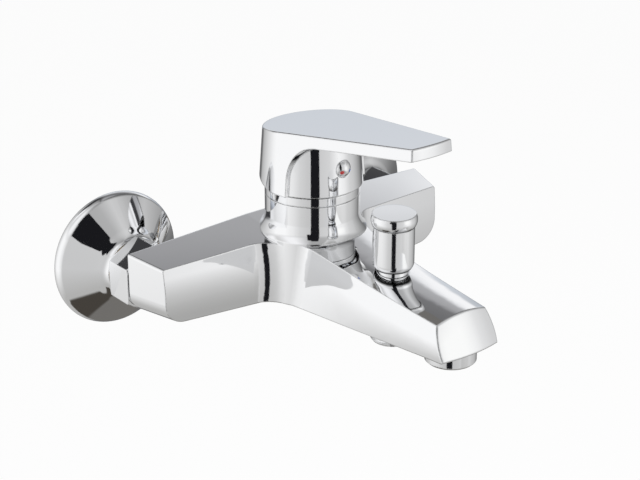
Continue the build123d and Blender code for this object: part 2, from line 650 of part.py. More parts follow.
with BuildPart() as turret:
    extrude(disc(level(turret_bottom, y=TOWER_Y), housing_bore_r - SLIDING_FIT), amount=TURRET_FLANGE)
    extrude(disc(level(flange_top, y=TOWER_Y), TURRET_R), amount=TURRET_TOP - flange_top)
    # Tongues that guide the carrier
    tongue_x = CARRIER_HALF_WIDTH + SLIDING_FIT + TURRET_TONGUE / 2
    with BuildSketch(level(moving_top + LOOSE_FIT, y=TOWER_Y)):
        with Locations((-tongue_x, 0), (tongue_x, 0)):
            Rectangle(TURRET_TONGUE, TURRET_TONGUE_LENGTH)
    extrude(amount=turret_bottom - moving_top - LOOSE_FIT)
    # Slot in which the spindle tilts: its ball swings forward as the lever lifts
    tilt = radians(LIFT_ANGLE)
    slot_back = (TURRET_TOP - PIN_Z) * tan(tilt) + SPINDLE_SIDE / 2 / cos(tilt) + LOOSE_FIT
    slot_front = (PIN_Z - turret_bottom) * tan(tilt) + SPINDLE_ARM_R / cos(tilt) + LOOSE_FIT
    with BuildSketch(level(turret_bottom, y=TOWER_Y + (slot_back - slot_front) / 2)):
        Rectangle(TURRET_SLOT_WIDTH, slot_back + slot_front)
    extrude(amount=TURRET_TOP - turret_bottom, mode=Mode.SUBTRACT)
    pin_plane = Plane(origin=(-TURRET_R, TOWER_Y, AXIS_Z + PIN_Z), z_dir=(1, 0, 0))
    extrude(disc(pin_plane, PIN_R + FACE_GAP), amount=2 * TURRET_R, mode=Mode.SUBTRACT)
save(turret, "turret")

with BuildPart() as spindle_pin:
    pin_half = sqrt(TURRET_R ** 2 - PIN_R ** 2) - THREAD_FIT
    extrude(disc(Plane(origin=(-pin_half, TOWER_Y, AXIS_Z + PIN_Z), z_dir=(1, 0, 0)), PIN_R),
            amount=2 * pin_half)
save(spindle_pin, "spindle_pin")

with BuildPart() as spindle:
    with BuildSketch(level(SPINDLE_HUB_BOTTOM, y=TOWER_Y)):
        RectangleRounded(SPINDLE_SIDE, SPINDLE_SIDE, SPINDLE_CORNER_R)
    extrude(amount=SPINDLE_TOP - SPINDLE_HUB_BOTTOM)
    extrude(disc(level(ball_z, y=TOWER_Y), SPINDLE_ARM_R), amount=SPINDLE_HUB_BOTTOM - ball_z)
    with Locations((0, TOWER_Y, AXIS_Z + ball_z)):
        Sphere(BALL_R)
    extrude(disc(pin_plane, PIN_R + RUNNING_FIT), amount=2 * TURRET_R, mode=Mode.SUBTRACT)
save(spindle, "spindle")

with BuildPart() as cartridge_housing:
    revolve(outline(
        upright(TOWER_Y),
        (housing_bore_r, base_top), (HOUSING_R, base_top), (HOUSING_R, HOUSING_SHOULDER),
        (HOUSING_NECK_R, HOUSING_SHOULDER), (HOUSING_NECK_R, HOUSING_TOP),
        (TURRET_R + RUNNING_FIT, HOUSING_TOP), (TURRET_R + RUNNING_FIT, flange_top + SLIDING_FIT),
        (housing_bore_r, flange_top + SLIDING_FIT),
    ), axis=TOWER_AXIS)
save(cartridge_housing, "cartridge_housing")

with BuildPart() as cartridge_nut:
    extrude(disc(level(HOUSING_SHOULDER, y=TOWER_Y), NUT_THREAD_R), amount=TOWER_TOP - HOUSING_SHOULDER)
    with BuildSketch(level(TOWER_TOP, y=TOWER_Y)):
        RegularPolygon(TOWER_R - COVER_WALL - 2 * (COVER_RING_R + THREAD_FIT), 6)
    extrude(amount=NUT_HEX_HEIGHT)
    extrude(disc(level(HOUSING_SHOULDER, y=TOWER_Y), HOUSING_NECK_R + SLIDING_FIT),
            amount=TOWER_TOP + NUT_HEX_HEIGHT - HOUSING_SHOULDER, mode=Mode.SUBTRACT)
save(cartridge_nut, "cartridge_nut")

# Cover ring and dome between the body and the lever
with BuildPart() as cover:
    dome_r = TOWER_R - COVER_EDGE
    dome_top = COVER_TOP + COVER_DOME_RISE
    dome_mid = ((dome_r + COVER_OPENING_R) / 2, COVER_TOP + COVER_DOME_RISE * COVER_DOME_FULLNESS)
    with BuildSketch(upright(TOWER_Y)):
        with BuildLine():
            Polyline((TOWER_R - COVER_WALL, COVER_BOTTOM), (TOWER_R, COVER_BOTTOM),
                     (TOWER_R, COVER_TOP - COVER_EDGE), (dome_r, COVER_TOP))
            ThreePointArc((dome_r, COVER_TOP), dome_mid, (COVER_OPENING_R, dome_top))
            Line((COVER_OPENING_R, dome_top), (COVER_OPENING_R, dome_top - COVER_WALL))
            ThreePointArc((COVER_OPENING_R, dome_top - COVER_WALL),
                          (dome_mid[0] - COVER_WALL / 2, dome_mid[1] - COVER_WALL),
                          (TOWER_R - COVER_WALL, COVER_TOP - COVER_WALL))
            Line((TOWER_R - COVER_WALL, COVER_TOP - COVER_WALL), (TOWER_R - COVER_WALL, COVER_BOTTOM))
        make_face()
    revolve(axis=TOWER_AXIS)
save(cover, "cover")

with BuildPart() as cover_ring:
    with BuildSketch(upright(TOWER_Y)):
        with Locations((TOWER_R - COVER_WALL - COVER_RING_R - THREAD_FIT, TOWER_TOP + COVER_RING_R)):
            Circle(COVER_RING_R)
    revolve(axis=TOWER_AXIS)
save(cover_ring, "cover_ring")


# Lever handle
def lever_top(y):
    """Height of the lever's top plane."""
    return LEVER_TIP_Z - LEVER_SLOPE * (y - LEVER_TIP_Y)


def skirt_r(z):
    """Outer radius of the drafted skirt."""
    return SKIRT_R - (z - SKIRT_BOTTOM) * tan(radians(SKIRT_DRAFT))


lever_reach = TOWER_Y - LEVER_TIP_Y
headroom = 2 * SKIRT_R
far_r = CUT_REACH * lever_reach
far_y = TOWER_Y - far_r
root_z = lever_top(TOWER_Y - SKIRT_R) - LEVER_THICKNESS - LEVER_ROOT_DROP
root_far_z = root_z + (far_r - skirt_r(root_z)) * LEVER_ROOT_SLOPE
# Plan of the lever at its highest point: its sides are tangent to the skirt
crown_z = lever_top(LEVER_TIP_Y - 2 * LEVER_TIP_BOW)
crown_r = skirt_r(crown_z)
tip = (LEVER_TIP_HALF_WIDTH, -lever_reach)
side_turn = acos(crown_r / hypot(*tip)) + atan2(tip[1], tip[0])
side = (crown_r * cos(side_turn), crown_r * sin(side_turn))
# Hollow under the lever: the round front of the skirt inside an arch cut from side to side
with BuildPart() as lever_hollow:
    with BuildSketch(upright(TOWER_Y)) as skirt_front:
        with BuildLine():
            corner = (skirt_r(root_z) - FRONT_INSET, root_z)
            Polyline((SKIRT_R - FRONT_INSET, SKIRT_BOTTOM), corner, (far_r, root_far_z),
                     (far_r, SKIRT_BOTTOM), close=True)
        make_face()
        fillet(skirt_front.vertices().sort_by_distance(corner)[0], LEVER_ROOT_R)
    revolve(axis=TOWER_AXIS)
    with BuildSketch(sideways(0)) as arch:
        with BuildLine():
            corner = (LEVER_ARCH_Y, lever_top(LEVER_ARCH_Y) - LEVER_THICKNESS)
            Polyline((LEVER_ARCH_Y, SKIRT_BOTTOM), corner, (far_y, lever_top(far_y) - LEVER_THICKNESS),
                     (far_y, SKIRT_BOTTOM), close=True)
        make_face()
        fillet(arch.vertices().sort_by_distance(corner)[0], LEVER_ARCH_R)
    extrude(amount=far_r, both=True, mode=Mode.INTERSECT)

with BuildPart() as handle:
    with BuildSketch(level(crown_z, y=TOWER_Y)):
        with BuildLine():
            ThreePointArc(side, (0, crown_r), (-side[0], side[1]))
            Line((-side[0], side[1]), (-tip[0], tip[1]))
            ThreePointArc((-tip[0], tip[1]), (0, tip[1] - LEVER_TIP_BOW), tip)
            Line(tip, side)
        make_face()
    extrude(amount=SKIRT_BOTTOM - crown_z, taper=-SKIRT_DRAFT)
    # Flat top rising to the front
    back_y = TOWER_Y + headroom
    ahead_y = LEVER_TIP_Y - headroom
    roof = lever_top(ahead_y) + headroom
    extrude(outline(
        sideways(0),
        (back_y, lever_top(back_y)), (ahead_y, lever_top(ahead_y)), (ahead_y, roof), (back_y, roof),
    ), amount=headroom, both=True, mode=Mode.SUBTRACT)
    # Edges of the flat top and the corners of the tip
    top_edges = handle.faces().sort_by(Axis.Z)[-1].edges()
    for hand in (-1, 1):
        corner = (hand * LEVER_TIP_HALF_WIDTH, LEVER_TIP_Y, AXIS_Z + (SKIRT_BOTTOM + LEVER_TIP_Z) / 2)
        top_edges.append(handle.edges().sort_by_distance(corner)[0])
    fillet(top_edges, EDGE_R)
    add(lever_hollow, mode=Mode.SUBTRACT)
    # Hollow skirt with the spindle boss
    revolve(outline(
        upright(TOWER_Y),
        (0, SKIRT_BOTTOM), (SKIRT_R - SKIRT_WALL, SKIRT_BOTTOM),
        (skirt_r(CAVITY_TOP) - SKIRT_WALL, CAVITY_TOP), (0, CAVITY_TOP),
    ), axis=TOWER_AXIS, mode=Mode.SUBTRACT)
    extrude(disc(level(BOSS_BOTTOM, y=TOWER_Y), BOSS_R), amount=CAVITY_TOP - BOSS_BOTTOM)
    with BuildSketch(level(BOSS_BOTTOM, y=TOWER_Y)):
        Rectangle(SPINDLE_SIDE + 2 * THREAD_FIT, SPINDLE_SIDE + 2 * THREAD_FIT)
    extrude(amount=SPINDLE_TOP + THREAD_FIT - BOSS_BOTTOM, mode=Mode.SUBTRACT)
    # Back of the skirt relieved for the lift
    relief = headroom * tan(radians(SKIRT_RELIEF_ANGLE))
    extrude(outline(
        sideways(0), (TOWER_Y, SKIRT_BOTTOM), (back_y, SKIRT_BOTTOM + relief), (back_y, SKIRT_BOTTOM),
    ), amount=headroom, both=True, mode=Mode.SUBTRACT)
    # Set screw hole, reached through the index button's seat
    extrude(disc(upright(TOWER_Y, z=BUTTON_Z), SCREW_R + THREAD_FIT), amount=BOSS_R, mode=Mode.SUBTRACT)
    extrude(disc(upright(TOWER_Y - BOSS_R, z=BUTTON_Z), BUTTON_R + THREAD_FIT),
            amount=headroom, mode=Mode.SUBTRACT)
save(handle, "handle")

screw_y = TOWER_Y - SPINDLE_SIDE / 2
with BuildPart() as set_screw:
    extrude(disc(upright(screw_y, z=BUTTON_Z), SCREW_R), amount=SCREW_LENGTH)
    with BuildSketch(upright(screw_y - SCREW_LENGTH + SCREW_KEY, z=BUTTON_Z)):
        RegularPolygon(SCREW_KEY / sqrt(3), 6)
    extrude(amount=SCREW_KEY, mode=Mode.SUBTRACT)
save(set_screw, "set_screw")

button_axis = Axis((0, 0, AXIS_Z + BUTTON_Z), (0, 1, 0))
button_y = TOWER_Y - skirt_r(BUTTON_Z) + FRONT_INSET


def button_form():
    """Profile of the domed index button, turned about its own axis."""
    with BuildSketch(Plane(origin=(0, 0, AXIS_Z + BUTTON_Z), x_dir=(0, 1, 0), z_dir=(1, 0, 0))) as sketch:
        with BuildLine():
            Polyline((button_y - BUTTON_DOME, 0), (button_y + BUTTON_DEPTH, 0),
                     (button_y + BUTTON_DEPTH, BUTTON_R), (button_y, BUTTON_R))
            TangentArc((button_y - BUTTON_DOME, 0), (button_y, BUTTON_R), tangent=(0, 1))
        make_face()
    return sketch.sketch


def mark_form(hand, radius):
    """Round of the hot or cold mark in the button's face."""
    with BuildSketch(upright(button_y - BUTTON_DOME + MARK_DEPTH, z=BUTTON_Z)) as sketch:
        with Locations((hand * MARK_X, MARK_Z)):
            Circle(radius)
    return sketch.sketch


with BuildPart() as index_button:
    revolve(button_form(), axis=button_axis)
    for hand in (-1, 1):
        extrude(mark_form(hand, MARK_R), amount=MARK_DEPTH, mode=Mode.SUBTRACT)
save(index_button, "index_button")

for mark_name, hand in (("hot_mark", -1), ("cold_mark", 1)):
    with BuildPart() as mark:
        revolve(button_form(), axis=button_axis)
        extrude(mark_form(hand, MARK_R - FACE_GAP), amount=MARK_DEPTH, mode=Mode.INTERSECT)
    save(mark, mark_name)

# Diverter
with BuildPart() as diverter_gland:
    stem_bore_r = STEM_R + RUNNING_FIT
    groove_r = STEM_R + GLAND_RING_WALL + FACE_GAP
    groove_top = GLAND_RING_Z + GLAND_RING_HEIGHT + FACE_GAP
    gland_bottom = GLAND_SEAT - GLAND_THREAD_LENGTH
    revolve(outline(
        upright(DIVERTER_Y),
        (stem_bore_r, gland_bottom), (GLAND_THREAD_R, gland_bottom),
        (GLAND_THREAD_R, GLAND_SEAT), (GLAND_R, GLAND_SEAT), (GLAND_R, GLAND_TOP - GLAND_BEVEL),
        (GLAND_R - GLAND_BEVEL, GLAND_TOP), (stem_bore_r, GLAND_TOP),
        (stem_bore_r, groove_top), (groove_r, groove_top),
        (groove_r, GLAND_RING_Z), (stem_bore_r, GLAND_RING_Z),
    ), axis=DIVERTER_AXIS)
save(diverter_gland, "diverter_gland")

with BuildPart() as gland_ring:
    extrude(ring(level(GLAND_RING_Z, y=DIVERTER_Y), STEM_R + GLAND_RING_WALL, stem_bore_r),
            amount=GLAND_RING_HEIGHT)
save(gland_ring, "gland_ring")

with BuildPart() as diverter_stem:
    stem_bottom = plate_bottom - VALVE_SEAL
    extrude(disc(level(stem_bottom, y=DIVERTER_Y), STEM_R), amount=STEM_TOP - stem_bottom)
save(diverter_stem, "diverter_stem")

with BuildPart() as diverter_valve:
    extrude(ring(level(plate_bottom, y=DIVERTER_Y), VALVE_R, STEM_R + FACE_GAP), amount=VALVE_PLATE)
save(diverter_valve, "diverter_valve")

for seal_name, seal_z in (("diverter_lower_seal", stem_bottom), ("diverter_upper_seal", plate_top)):
    with BuildPart() as seal:
        extrude(ring(level(seal_z, y=DIVERTER_Y), VALVE_R, STEM_R + FACE_GAP), amount=VALVE_SEAL)
    save(seal, seal_name)

with BuildPart() as diverter_knob:
    with BuildSketch(upright(DIVERTER_Y)):
        with BuildLine():
            cap_waist = (KNOB_R, KNOB_CAP_BOTTOM)
            Polyline((0, KNOB_BORE_TOP), (0, KNOB_TOP), (KNOB_FACE_R, KNOB_TOP))
            ThreePointArc((KNOB_FACE_R, KNOB_TOP), (KNOB_CAP_R, KNOB_TOP - KNOB_CAP_SHOULDER),
                          (KNOB_R + KNOB_CAP_LIP, KNOB_CAP_BOTTOM + KNOB_CAP_LIP))
            Polyline((KNOB_R + KNOB_CAP_LIP, KNOB_CAP_BOTTOM + KNOB_CAP_LIP), cap_waist,
                     (KNOB_R, KNOB_BOTTOM + KNOB_FOOT_BEVEL))
            TangentArc((KNOB_R, KNOB_BOTTOM + KNOB_FOOT_BEVEL), (KNOB_FOOT_R, KNOB_BOTTOM), tangent=(0, -1))
            Polyline((KNOB_FOOT_R, KNOB_BOTTOM), (GLAND_R + LOOSE_FIT, KNOB_BOTTOM),
                     (GLAND_R + LOOSE_FIT, KNOB_BORE_TOP), (0, KNOB_BORE_TOP))
        make_face()
    revolve(axis=DIVERTER_AXIS)
    extrude(disc(level(KNOB_BORE_TOP, y=DIVERTER_Y), STEM_R + FACE_GAP),
            amount=STEM_TOP - KNOB_BORE_TOP, mode=Mode.SUBTRACT)
save(diverter_knob, "diverter_knob")

# Shower outlet under the diverter
ring_z = OUTLET_SEAT + (OUTLET_SPIGOT - OUTLET_RING) / 2
with BuildPart() as shower_outlet:
    revolve(outline(
        upright(DIVERTER_Y),
        (OUTLET_ORIFICE_R, seat_z), (DIVERTER_BORE_R - THREAD_FIT, seat_z),
        (DIVERTER_BORE_R - THREAD_FIT, OUTLET_SEAT), (OUTLET_COLLAR_R, OUTLET_SEAT),
        (OUTLET_COLLAR_R, OUTLET_SEAT - OUTLET_COLLAR), (OUTLET_THREAD_R, OUTLET_SEAT - OUTLET_COLLAR),
        (OUTLET_THREAD_R, OUTLET_BOTTOM + OUTLET_BEVEL), (OUTLET_THREAD_R - OUTLET_BEVEL, OUTLET_BOTTOM),
        (OUTLET_BORE_R, OUTLET_BOTTOM), (OUTLET_BORE_R, seat_z - OUTLET_LIP),
        (OUTLET_ORIFICE_R, seat_z - OUTLET_LIP),
    ), axis=DIVERTER_AXIS)
    # Groove of the sealing ring in the spigot
    extrude(ring(level(ring_z, y=DIVERTER_Y), DIVERTER_BORE_R, DIVERTER_BORE_R - OUTLET_RING),
            amount=OUTLET_RING, mode=Mode.SUBTRACT)
save(shower_outlet, "shower_outlet")

with BuildPart() as outlet_ring:
    groove_floor_r = DIVERTER_BORE_R - OUTLET_RING
    extrude(ring(level(ring_z, y=DIVERTER_Y), DIVERTER_BORE_R - FACE_GAP, groove_floor_r + FACE_GAP),
            amount=OUTLET_RING - FACE_GAP)
save(outlet_ring, "outlet_ring")

check_bottom = seat_z - OUTLET_LIP - CHECK_VALVE_LENGTH
with BuildPart() as check_valve:
    extrude(ring(level(check_bottom, y=DIVERTER_Y), OUTLET_BORE_R - FACE_GAP, CHECK_VALVE_BORE_R),
            amount=CHECK_VALVE_LENGTH)
    # Spokes that carry the poppet
    with BuildSketch(level(check_bottom, y=DIVERTER_Y)):
        Circle(CHECK_VALVE_HUB_R)
        with PolarLocations(0, 3):
            with Locations((CHECK_VALVE_BORE_R / 2, 0)):
                Rectangle(CHECK_VALVE_BORE_R + SPOKE, SPOKE)
    extrude(amount=SPOKE)
save(check_valve, "check_valve")

# Aerator
with BuildPart() as aerator_ring:
    revolve(outline(
        upright(AERATOR_Y),
        (AERATOR_BORE_R, AERATOR_SEAT + AERATOR_THREAD), (AERATOR_THREAD_R, AERATOR_SEAT + AERATOR_THREAD),
        (AERATOR_THREAD_R, AERATOR_SEAT), (AERATOR_R, AERATOR_SEAT),
        (AERATOR_R, AERATOR_BOTTOM + AERATOR_BEVEL), (AERATOR_R - AERATOR_BEVEL, AERATOR_BOTTOM),
        (AERATOR_LIP_R, AERATOR_BOTTOM), (AERATOR_LIP_R, AERATOR_BOTTOM + AERATOR_LIP),
        (AERATOR_BORE_R, AERATOR_BOTTOM + AERATOR_LIP),
    ), axis=AERATOR_AXIS)
save(aerator_ring, "aerator_ring")

with BuildPart() as aerator_insert:
    insert_bottom = AERATOR_BOTTOM + AERATOR_LIP
    extrude(disc(level(insert_bottom, y=AERATOR_Y), AERATOR_BORE_R - THREAD_FIT),
            amount=AERATOR_INSERT_HEIGHT)
    # Jets in the lower face
    with BuildSketch(level(insert_bottom, y=AERATOR_Y)):
        with HexLocations(AERATOR_JET_PITCH, AERATOR_JET_ROWS, AERATOR_JET_ROWS):
            Circle(AERATOR_JET_R)
    extrude(amount=AERATOR_JET_DEPTH, mode=Mode.SUBTRACT)
save(aerator_insert, "aerator_insert")

with BuildPart() as aerator_gasket:
    gasket_z = AERATOR_SEAT + AERATOR_THREAD
    extrude(ring(level(gasket_z, y=AERATOR_Y), AERATOR_THREAD_R - THREAD_FIT, AERATOR_RECESS_R),
            amount=AERATOR_GASKET)
save(aerator_gasket, "aerator_gasket")
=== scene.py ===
"""Finishes, screw threads, filter screens and photo stage of a wall mounted bath faucet."""

import json
from math import ceil, cos, pi, radians, sin, sqrt, tau

import bmesh
import bpy
from bpy.props import FloatProperty, FloatVectorProperty, IntProperty, PointerProperty
from bpy.types import Operator, Panel, PropertyGroup
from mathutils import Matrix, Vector


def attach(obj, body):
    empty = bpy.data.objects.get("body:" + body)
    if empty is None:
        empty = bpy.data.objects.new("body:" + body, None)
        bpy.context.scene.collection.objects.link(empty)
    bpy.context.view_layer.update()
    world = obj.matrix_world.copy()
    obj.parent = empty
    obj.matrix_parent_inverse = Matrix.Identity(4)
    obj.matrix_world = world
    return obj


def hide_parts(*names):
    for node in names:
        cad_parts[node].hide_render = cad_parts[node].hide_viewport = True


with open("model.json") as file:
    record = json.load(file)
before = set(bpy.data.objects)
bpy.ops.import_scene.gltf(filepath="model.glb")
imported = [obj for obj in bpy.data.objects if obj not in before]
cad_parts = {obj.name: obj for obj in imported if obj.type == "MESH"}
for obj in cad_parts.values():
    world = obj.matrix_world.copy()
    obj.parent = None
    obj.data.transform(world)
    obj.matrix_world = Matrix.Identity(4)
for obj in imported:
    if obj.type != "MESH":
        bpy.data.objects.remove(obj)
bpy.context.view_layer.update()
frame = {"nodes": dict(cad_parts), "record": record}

bl_info = {
    "name": "Bath Faucet Dressing",
    "version": (1, 0, 0),
    "blender": (4, 5, 0),
    "location": "View3D > Sidebar > Faucet",
    "description": "Dresses the packed faucet with finishes, threads, screens and a photo stage",
    "category": "Object",
}

MM = 0.001

# Which nodes of the frame carry each finish
CHROME_NODES = (
    "body",
    "index_button",
    "diverter_gland",
    "escutcheon_left",
    "escutcheon_right",
    "union_nut_left",
    "union_nut_right",
    "aerator_ring",
)
BRASS_NODES = (
    "tailpiece_left",
    "tailpiece_right",
    "cartridge_nut",
    "diverter_valve",
)
STEEL_NODES = ("spindle", "spindle_pin", "set_screw", "diverter_stem")
RUBBER_NODES = (
    "filter_washer_left",
    "filter_washer_right",
    "base_seals",
    "cover_ring",
    "gland_ring",
    "outlet_ring",
    "diverter_lower_seal",
    "diverter_upper_seal",
    "aerator_gasket",
)
HOUSING_NODES = ("cartridge_housing", "cartridge_base", "turret", "disc_carrier")
JET_NODES = ("aerator_insert", "check_valve")
CERAMIC_NODES = ("fixed_disc", "moving_disc")

# Painted shade under the skirt, cover and knob: faces below this height that look down get the dark
# underside colour, where the upward part of their normal goes from the first value to the second
SHADED_UNDERSIDE_NODES = ("handle", "cover", "diverter_knob")
SHADED_UNDERSIDE_BELOW = 0.07
SHADED_UNDERSIDE_TILT = (-0.6, -0.35)


def slot_color(slot):
    """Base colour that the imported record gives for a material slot."""
    for row in frame["record"]["materials"]:
        if row["slot"] == slot:
            return tuple(row["base_color"])
    raise RuntimeError("the packed record has no slot " + slot)


def color_property(name, description, default):
    """A colour that the user can change."""
    return FloatVectorProperty(
        name=name,
        description=description,
        default=default,
        size=3,
        min=0.0,
        max=1.0,
        subtype="COLOR",
    )


class FinishSettings(PropertyGroup):
    """Colours and polish of the faucet's materials."""

    chrome: color_property("Chrome", "Colour of the chrome plate", (0.95, 0.955, 0.965))
    # Underside colour: painted shade laid on the low downward faces of the skirt, cover and knob
    cast: color_property("Underside", "Colour of feet that the plate misses", (0.02, 0.02, 0.02))
    brass: color_property("Brass", "Colour of the bare brass", slot_color("plain_brass"))
    steel: color_property("Steel", "Colour of the ground steel", slot_color("stainless"))
    rubber: color_property("Rubber", "Colour of the seals", slot_color("seal_rubber"))
    housing: color_property("Housing", "Colour of the cartridge", slot_color("cartridge_plastic"))
    jets: color_property("Jets", "Colour of the aerator insert", slot_color("jet_plastic"))
    ceramic: color_property("Ceramic", "Colour of the discs", slot_color("ceramic"))
    hot: color_property("Hot mark", "Colour of the hot mark", slot_color("hot_red"))
    cold: color_property("Cold mark", "Colour of the cold mark", slot_color("cold_blue"))
    polish: FloatProperty(
        name="Polish haze",
        description="Roughness of the polished chrome where it is haziest",
        default=0.06,
        min=0.0,
        max=0.5,
        subtype="FACTOR",
    )
    waviness: FloatProperty(
        name="Polish waviness",
        description="Height of the long waves that hand polishing leaves",
        default=0.00003,
        min=0.0,
        max=0.001,
        unit="LENGTH",
    )
    soft_edge: FloatProperty(
        name="Soft edge",
        description="Radius of the plated edges",
        default=0.0009,
        min=0.0,
        max=0.003,
        unit="LENGTH",
    )


class ThreadSettings(PropertyGroup):
    """Pipe thread form shared by the wall unions and the shower nipple."""

    pitch: FloatProperty(
        name="Pitch",
        description="Advance of the pipe thread in one turn",
        default=1.814 * MM,
        min=0.0005,
        max=0.004,
        unit="LENGTH",
    )
    depth: FloatProperty(
        name="Depth",
        description="Height of the thread from root to crest",
        default=1.162 * MM,
        min=0.0002,
        max=0.003,
        unit="LENGTH",
    )
    sides: IntProperty(
        name="Sides",
        description="Points round each ring of the threaded pieces",
        default=72,
        min=24,
        max=180,
    )
    steps: IntProperty(
        name="Steps",
        description="Rings in each pitch of the thread",
        default=10,
        min=6,
        max=24,
    )


class ScreenSettings(PropertyGroup):
    """Woven wire screens in the filter washers."""

    mesh: FloatProperty(
        name="Mesh",
        description="Spacing of the screen's wires",
        default=0.9 * MM,
        min=0.0004,
        max=0.003,
        unit="LENGTH",
    )
    wire: FloatProperty(
        name="Wire",
        description="Diameter of the screen's wires",
        default=0.3 * MM,
        min=0.0001,
        max=0.001,
        unit="LENGTH",
    )


class StageSettings(PropertyGroup):
    """Floor, light and camera of the photo stage."""

    floor_height: FloatProperty(
        name="Floor height",
        description="Height of the floor below the inlets",
        default=-0.75,
        unit="LENGTH",
    )
    floor: color_property("Floor", "Colour of the floor", (0.9, 0.9, 0.9))
    daylight: FloatProperty(
        name="Daylight",
        description="Strength of the white surroundings as light on matt pieces",
        default=0.55,
        min=0.0,
        max=2.0,
        subtype="FACTOR",
    )
    key_power: FloatProperty(
        name="Key power",
        description="Power of the large soft lamp",
        default=16.0,
        min=0.0,
        unit="POWER",
    )
    lens: FloatProperty(
        name="Lens",
        description="Focal length of the camera",
        default=94.45,
        min=10.0,
        subtype="DISTANCE_CAMERA",
    )
    camera_place: FloatVectorProperty(
        name="Camera",
        description="Place of the camera",
        default=(-0.47277, -0.65884, 0.34638),
        size=3,
        subtype="XYZ",
        unit="LENGTH",
    )
    camera_pitch: FloatProperty(
        name="Camera pitch",
        description="Tilt of the camera below level",
        default=radians(23.43),
        subtype="ANGLE",
    )
    camera_heading: FloatProperty(
        name="Camera heading",
        description="Turn of the camera from facing the wall, to the right",
        default=radians(38.84),
        subtype="ANGLE",
    )


# Middle part of a noise value, where nearly all of it lies
NOISE_SPAN = (0.3, 0.7)
EDGE_SAMPLES = 6


class NodeBench:
    """Short calls for building one material's nodes."""

    def __init__(self, name):
        old = bpy.data.materials.get(name)
        if old is not None:
            bpy.data.materials.remove(old)
        self.material = bpy.data.materials.new(name)
        self.material.use_nodes = True
        self.tree = self.material.node_tree
        self.tree.nodes.clear()
        self.output = self.add("ShaderNodeOutputMaterial")

    def add(self, kind, settings=None, **sockets):
        node = self.tree.nodes.new(kind)
        for key, value in (settings or {}).items():
            setattr(node, key, value)
        for key, value in sockets.items():
            node.inputs[key.replace("_", " ")].default_value = value
        return node

    def link(self, source, target):
        self.tree.links.new(source, target)

    def principled(self, color, **sockets):
        shader = self.add("ShaderNodeBsdfPrincipled", None, **sockets)
        shader.inputs["Base Color"].default_value = (*color, 1.0)
        self.link(shader.outputs["BSDF"], self.output.inputs["Surface"])
        return shader

    def place(self, stretch=(1.0, 1.0, 1.0)):
        """The piece's own coordinates, in metres, stretched along its axes."""
        coords = self.add("ShaderNodeTexCoord")
        mapping = self.add("ShaderNodeMapping", None, Scale=stretch)
        self.link(coords.outputs["Object"], mapping.inputs["Vector"])
        return mapping.outputs["Vector"]

    def noise(self, place, scale, detail=3.0, roughness=0.5):
        node = self.add("ShaderNodeTexNoise", None, Scale=scale, Detail=detail, Roughness=roughness)
        self.link(place, node.inputs["Vector"])
        return node.outputs["Fac"]

    def spread(self, value, low, high, span=NOISE_SPAN):
        """Maps a value from its span onto a range."""
        node = self.add("ShaderNodeMapRange")
        node.inputs["From Min"].default_value = span[0]
        node.inputs["From Max"].default_value = span[1]
        node.inputs["To Min"].default_value = low
        node.inputs["To Max"].default_value = high
        self.link(value, node.inputs["Value"])
        return node.outputs["Result"]

    def tones(self, value, dark, light):
        """Colour that wanders between two tones."""
        ramp = self.add("ShaderNodeValToRGB")
        stops = zip(ramp.color_ramp.elements, NOISE_SPAN, (dark, light))
        for element, position, tone in stops:
            element.position = position
            element.color = (*tone, 1.0)
        self.link(value, ramp.inputs["Fac"])
        return ramp.outputs["Color"]

    def bump(self, height, distance, normal=None):
        node = self.add("ShaderNodeBump", None, Distance=distance, Strength=1.0)
        self.link(height, node.inputs["Height"])
        if normal is not None:
            self.link(normal, node.inputs["Normal"])
        return node.outputs["Normal"]

    def mixed(self, factor, under, over, blend="MIX"):
        """One colour laid over another; each is a socket or a plain value."""
        node = self.add("ShaderNodeMix", {"data_type": "RGBA", "blend_type": blend})
        for key, value in (("Factor", factor), ("A", under), ("B", over)):
            if isinstance(value, tuple):
                node.inputs[key].default_value = (*value, 1.0)
            elif isinstance(value, float):
                node.inputs[key].default_value = value
            else:
                self.link(value, node.inputs[key])
        return node.outputs["Result"]

    def joined(self, operation, first, second):
        """Two values, or a value and a number, put together."""
        node = self.add("ShaderNodeMath", {"operation": operation})
        self.link(first, node.inputs[0])
        if isinstance(second, float):
            node.inputs[1].default_value = second
        else:
            self.link(second, node.inputs[1])
        return node.outputs["Value"]

    def feet(self, below):
        """One on faces that look down and lie below a height, nought on the others."""
        coords = self.add("ShaderNodeTexCoord")
        facing = self.add("ShaderNodeSeparateXYZ")
        spot = self.add("ShaderNodeSeparateXYZ")
        self.link(coords.outputs["Normal"], facing.inputs["Vector"])
        self.link(coords.outputs["Object"], spot.inputs["Vector"])
        down = self.spread(facing.outputs["Z"], 1.0, 0.0, SHADED_UNDERSIDE_TILT)
        low = self.joined("LESS_THAN", spot.outputs["Z"], below)
        return self.joined("MULTIPLY", down, low)

    def soft_edges(self, radius):
        node = self.add("ShaderNodeBevel", {"samples": EDGE_SAMPLES}, Radius=radius)
        return node.outputs["Normal"]

    def clouded(self, shader, cloud, color, dark, light):
        """Base colour that wanders between a darker and a lighter share of itself."""
        tone = self.tones(cloud, scaled(color, dark), scaled(color, light))
        self.link(tone, shader.inputs["Base Color"])


def scaled(color, factor):
    return tuple(min(1.0, channel * factor) for channel in color)


# Noise scales of the finishes, share of the haze where the polish is clearest, and relief heights
CHROME_HAZE = 45.0
CHROME_WAVE = 38.0
CHROME_CLEAREST = 0.35
TURNING_LINES = 240.0
TURNING_DEPTH = 0.00003
METAL_CLOUD = 120.0
MOULDED_CLOUD = 90.0
ENAMEL_CLOUD = 700.0
ENAMEL_DEPTH = 0.00002


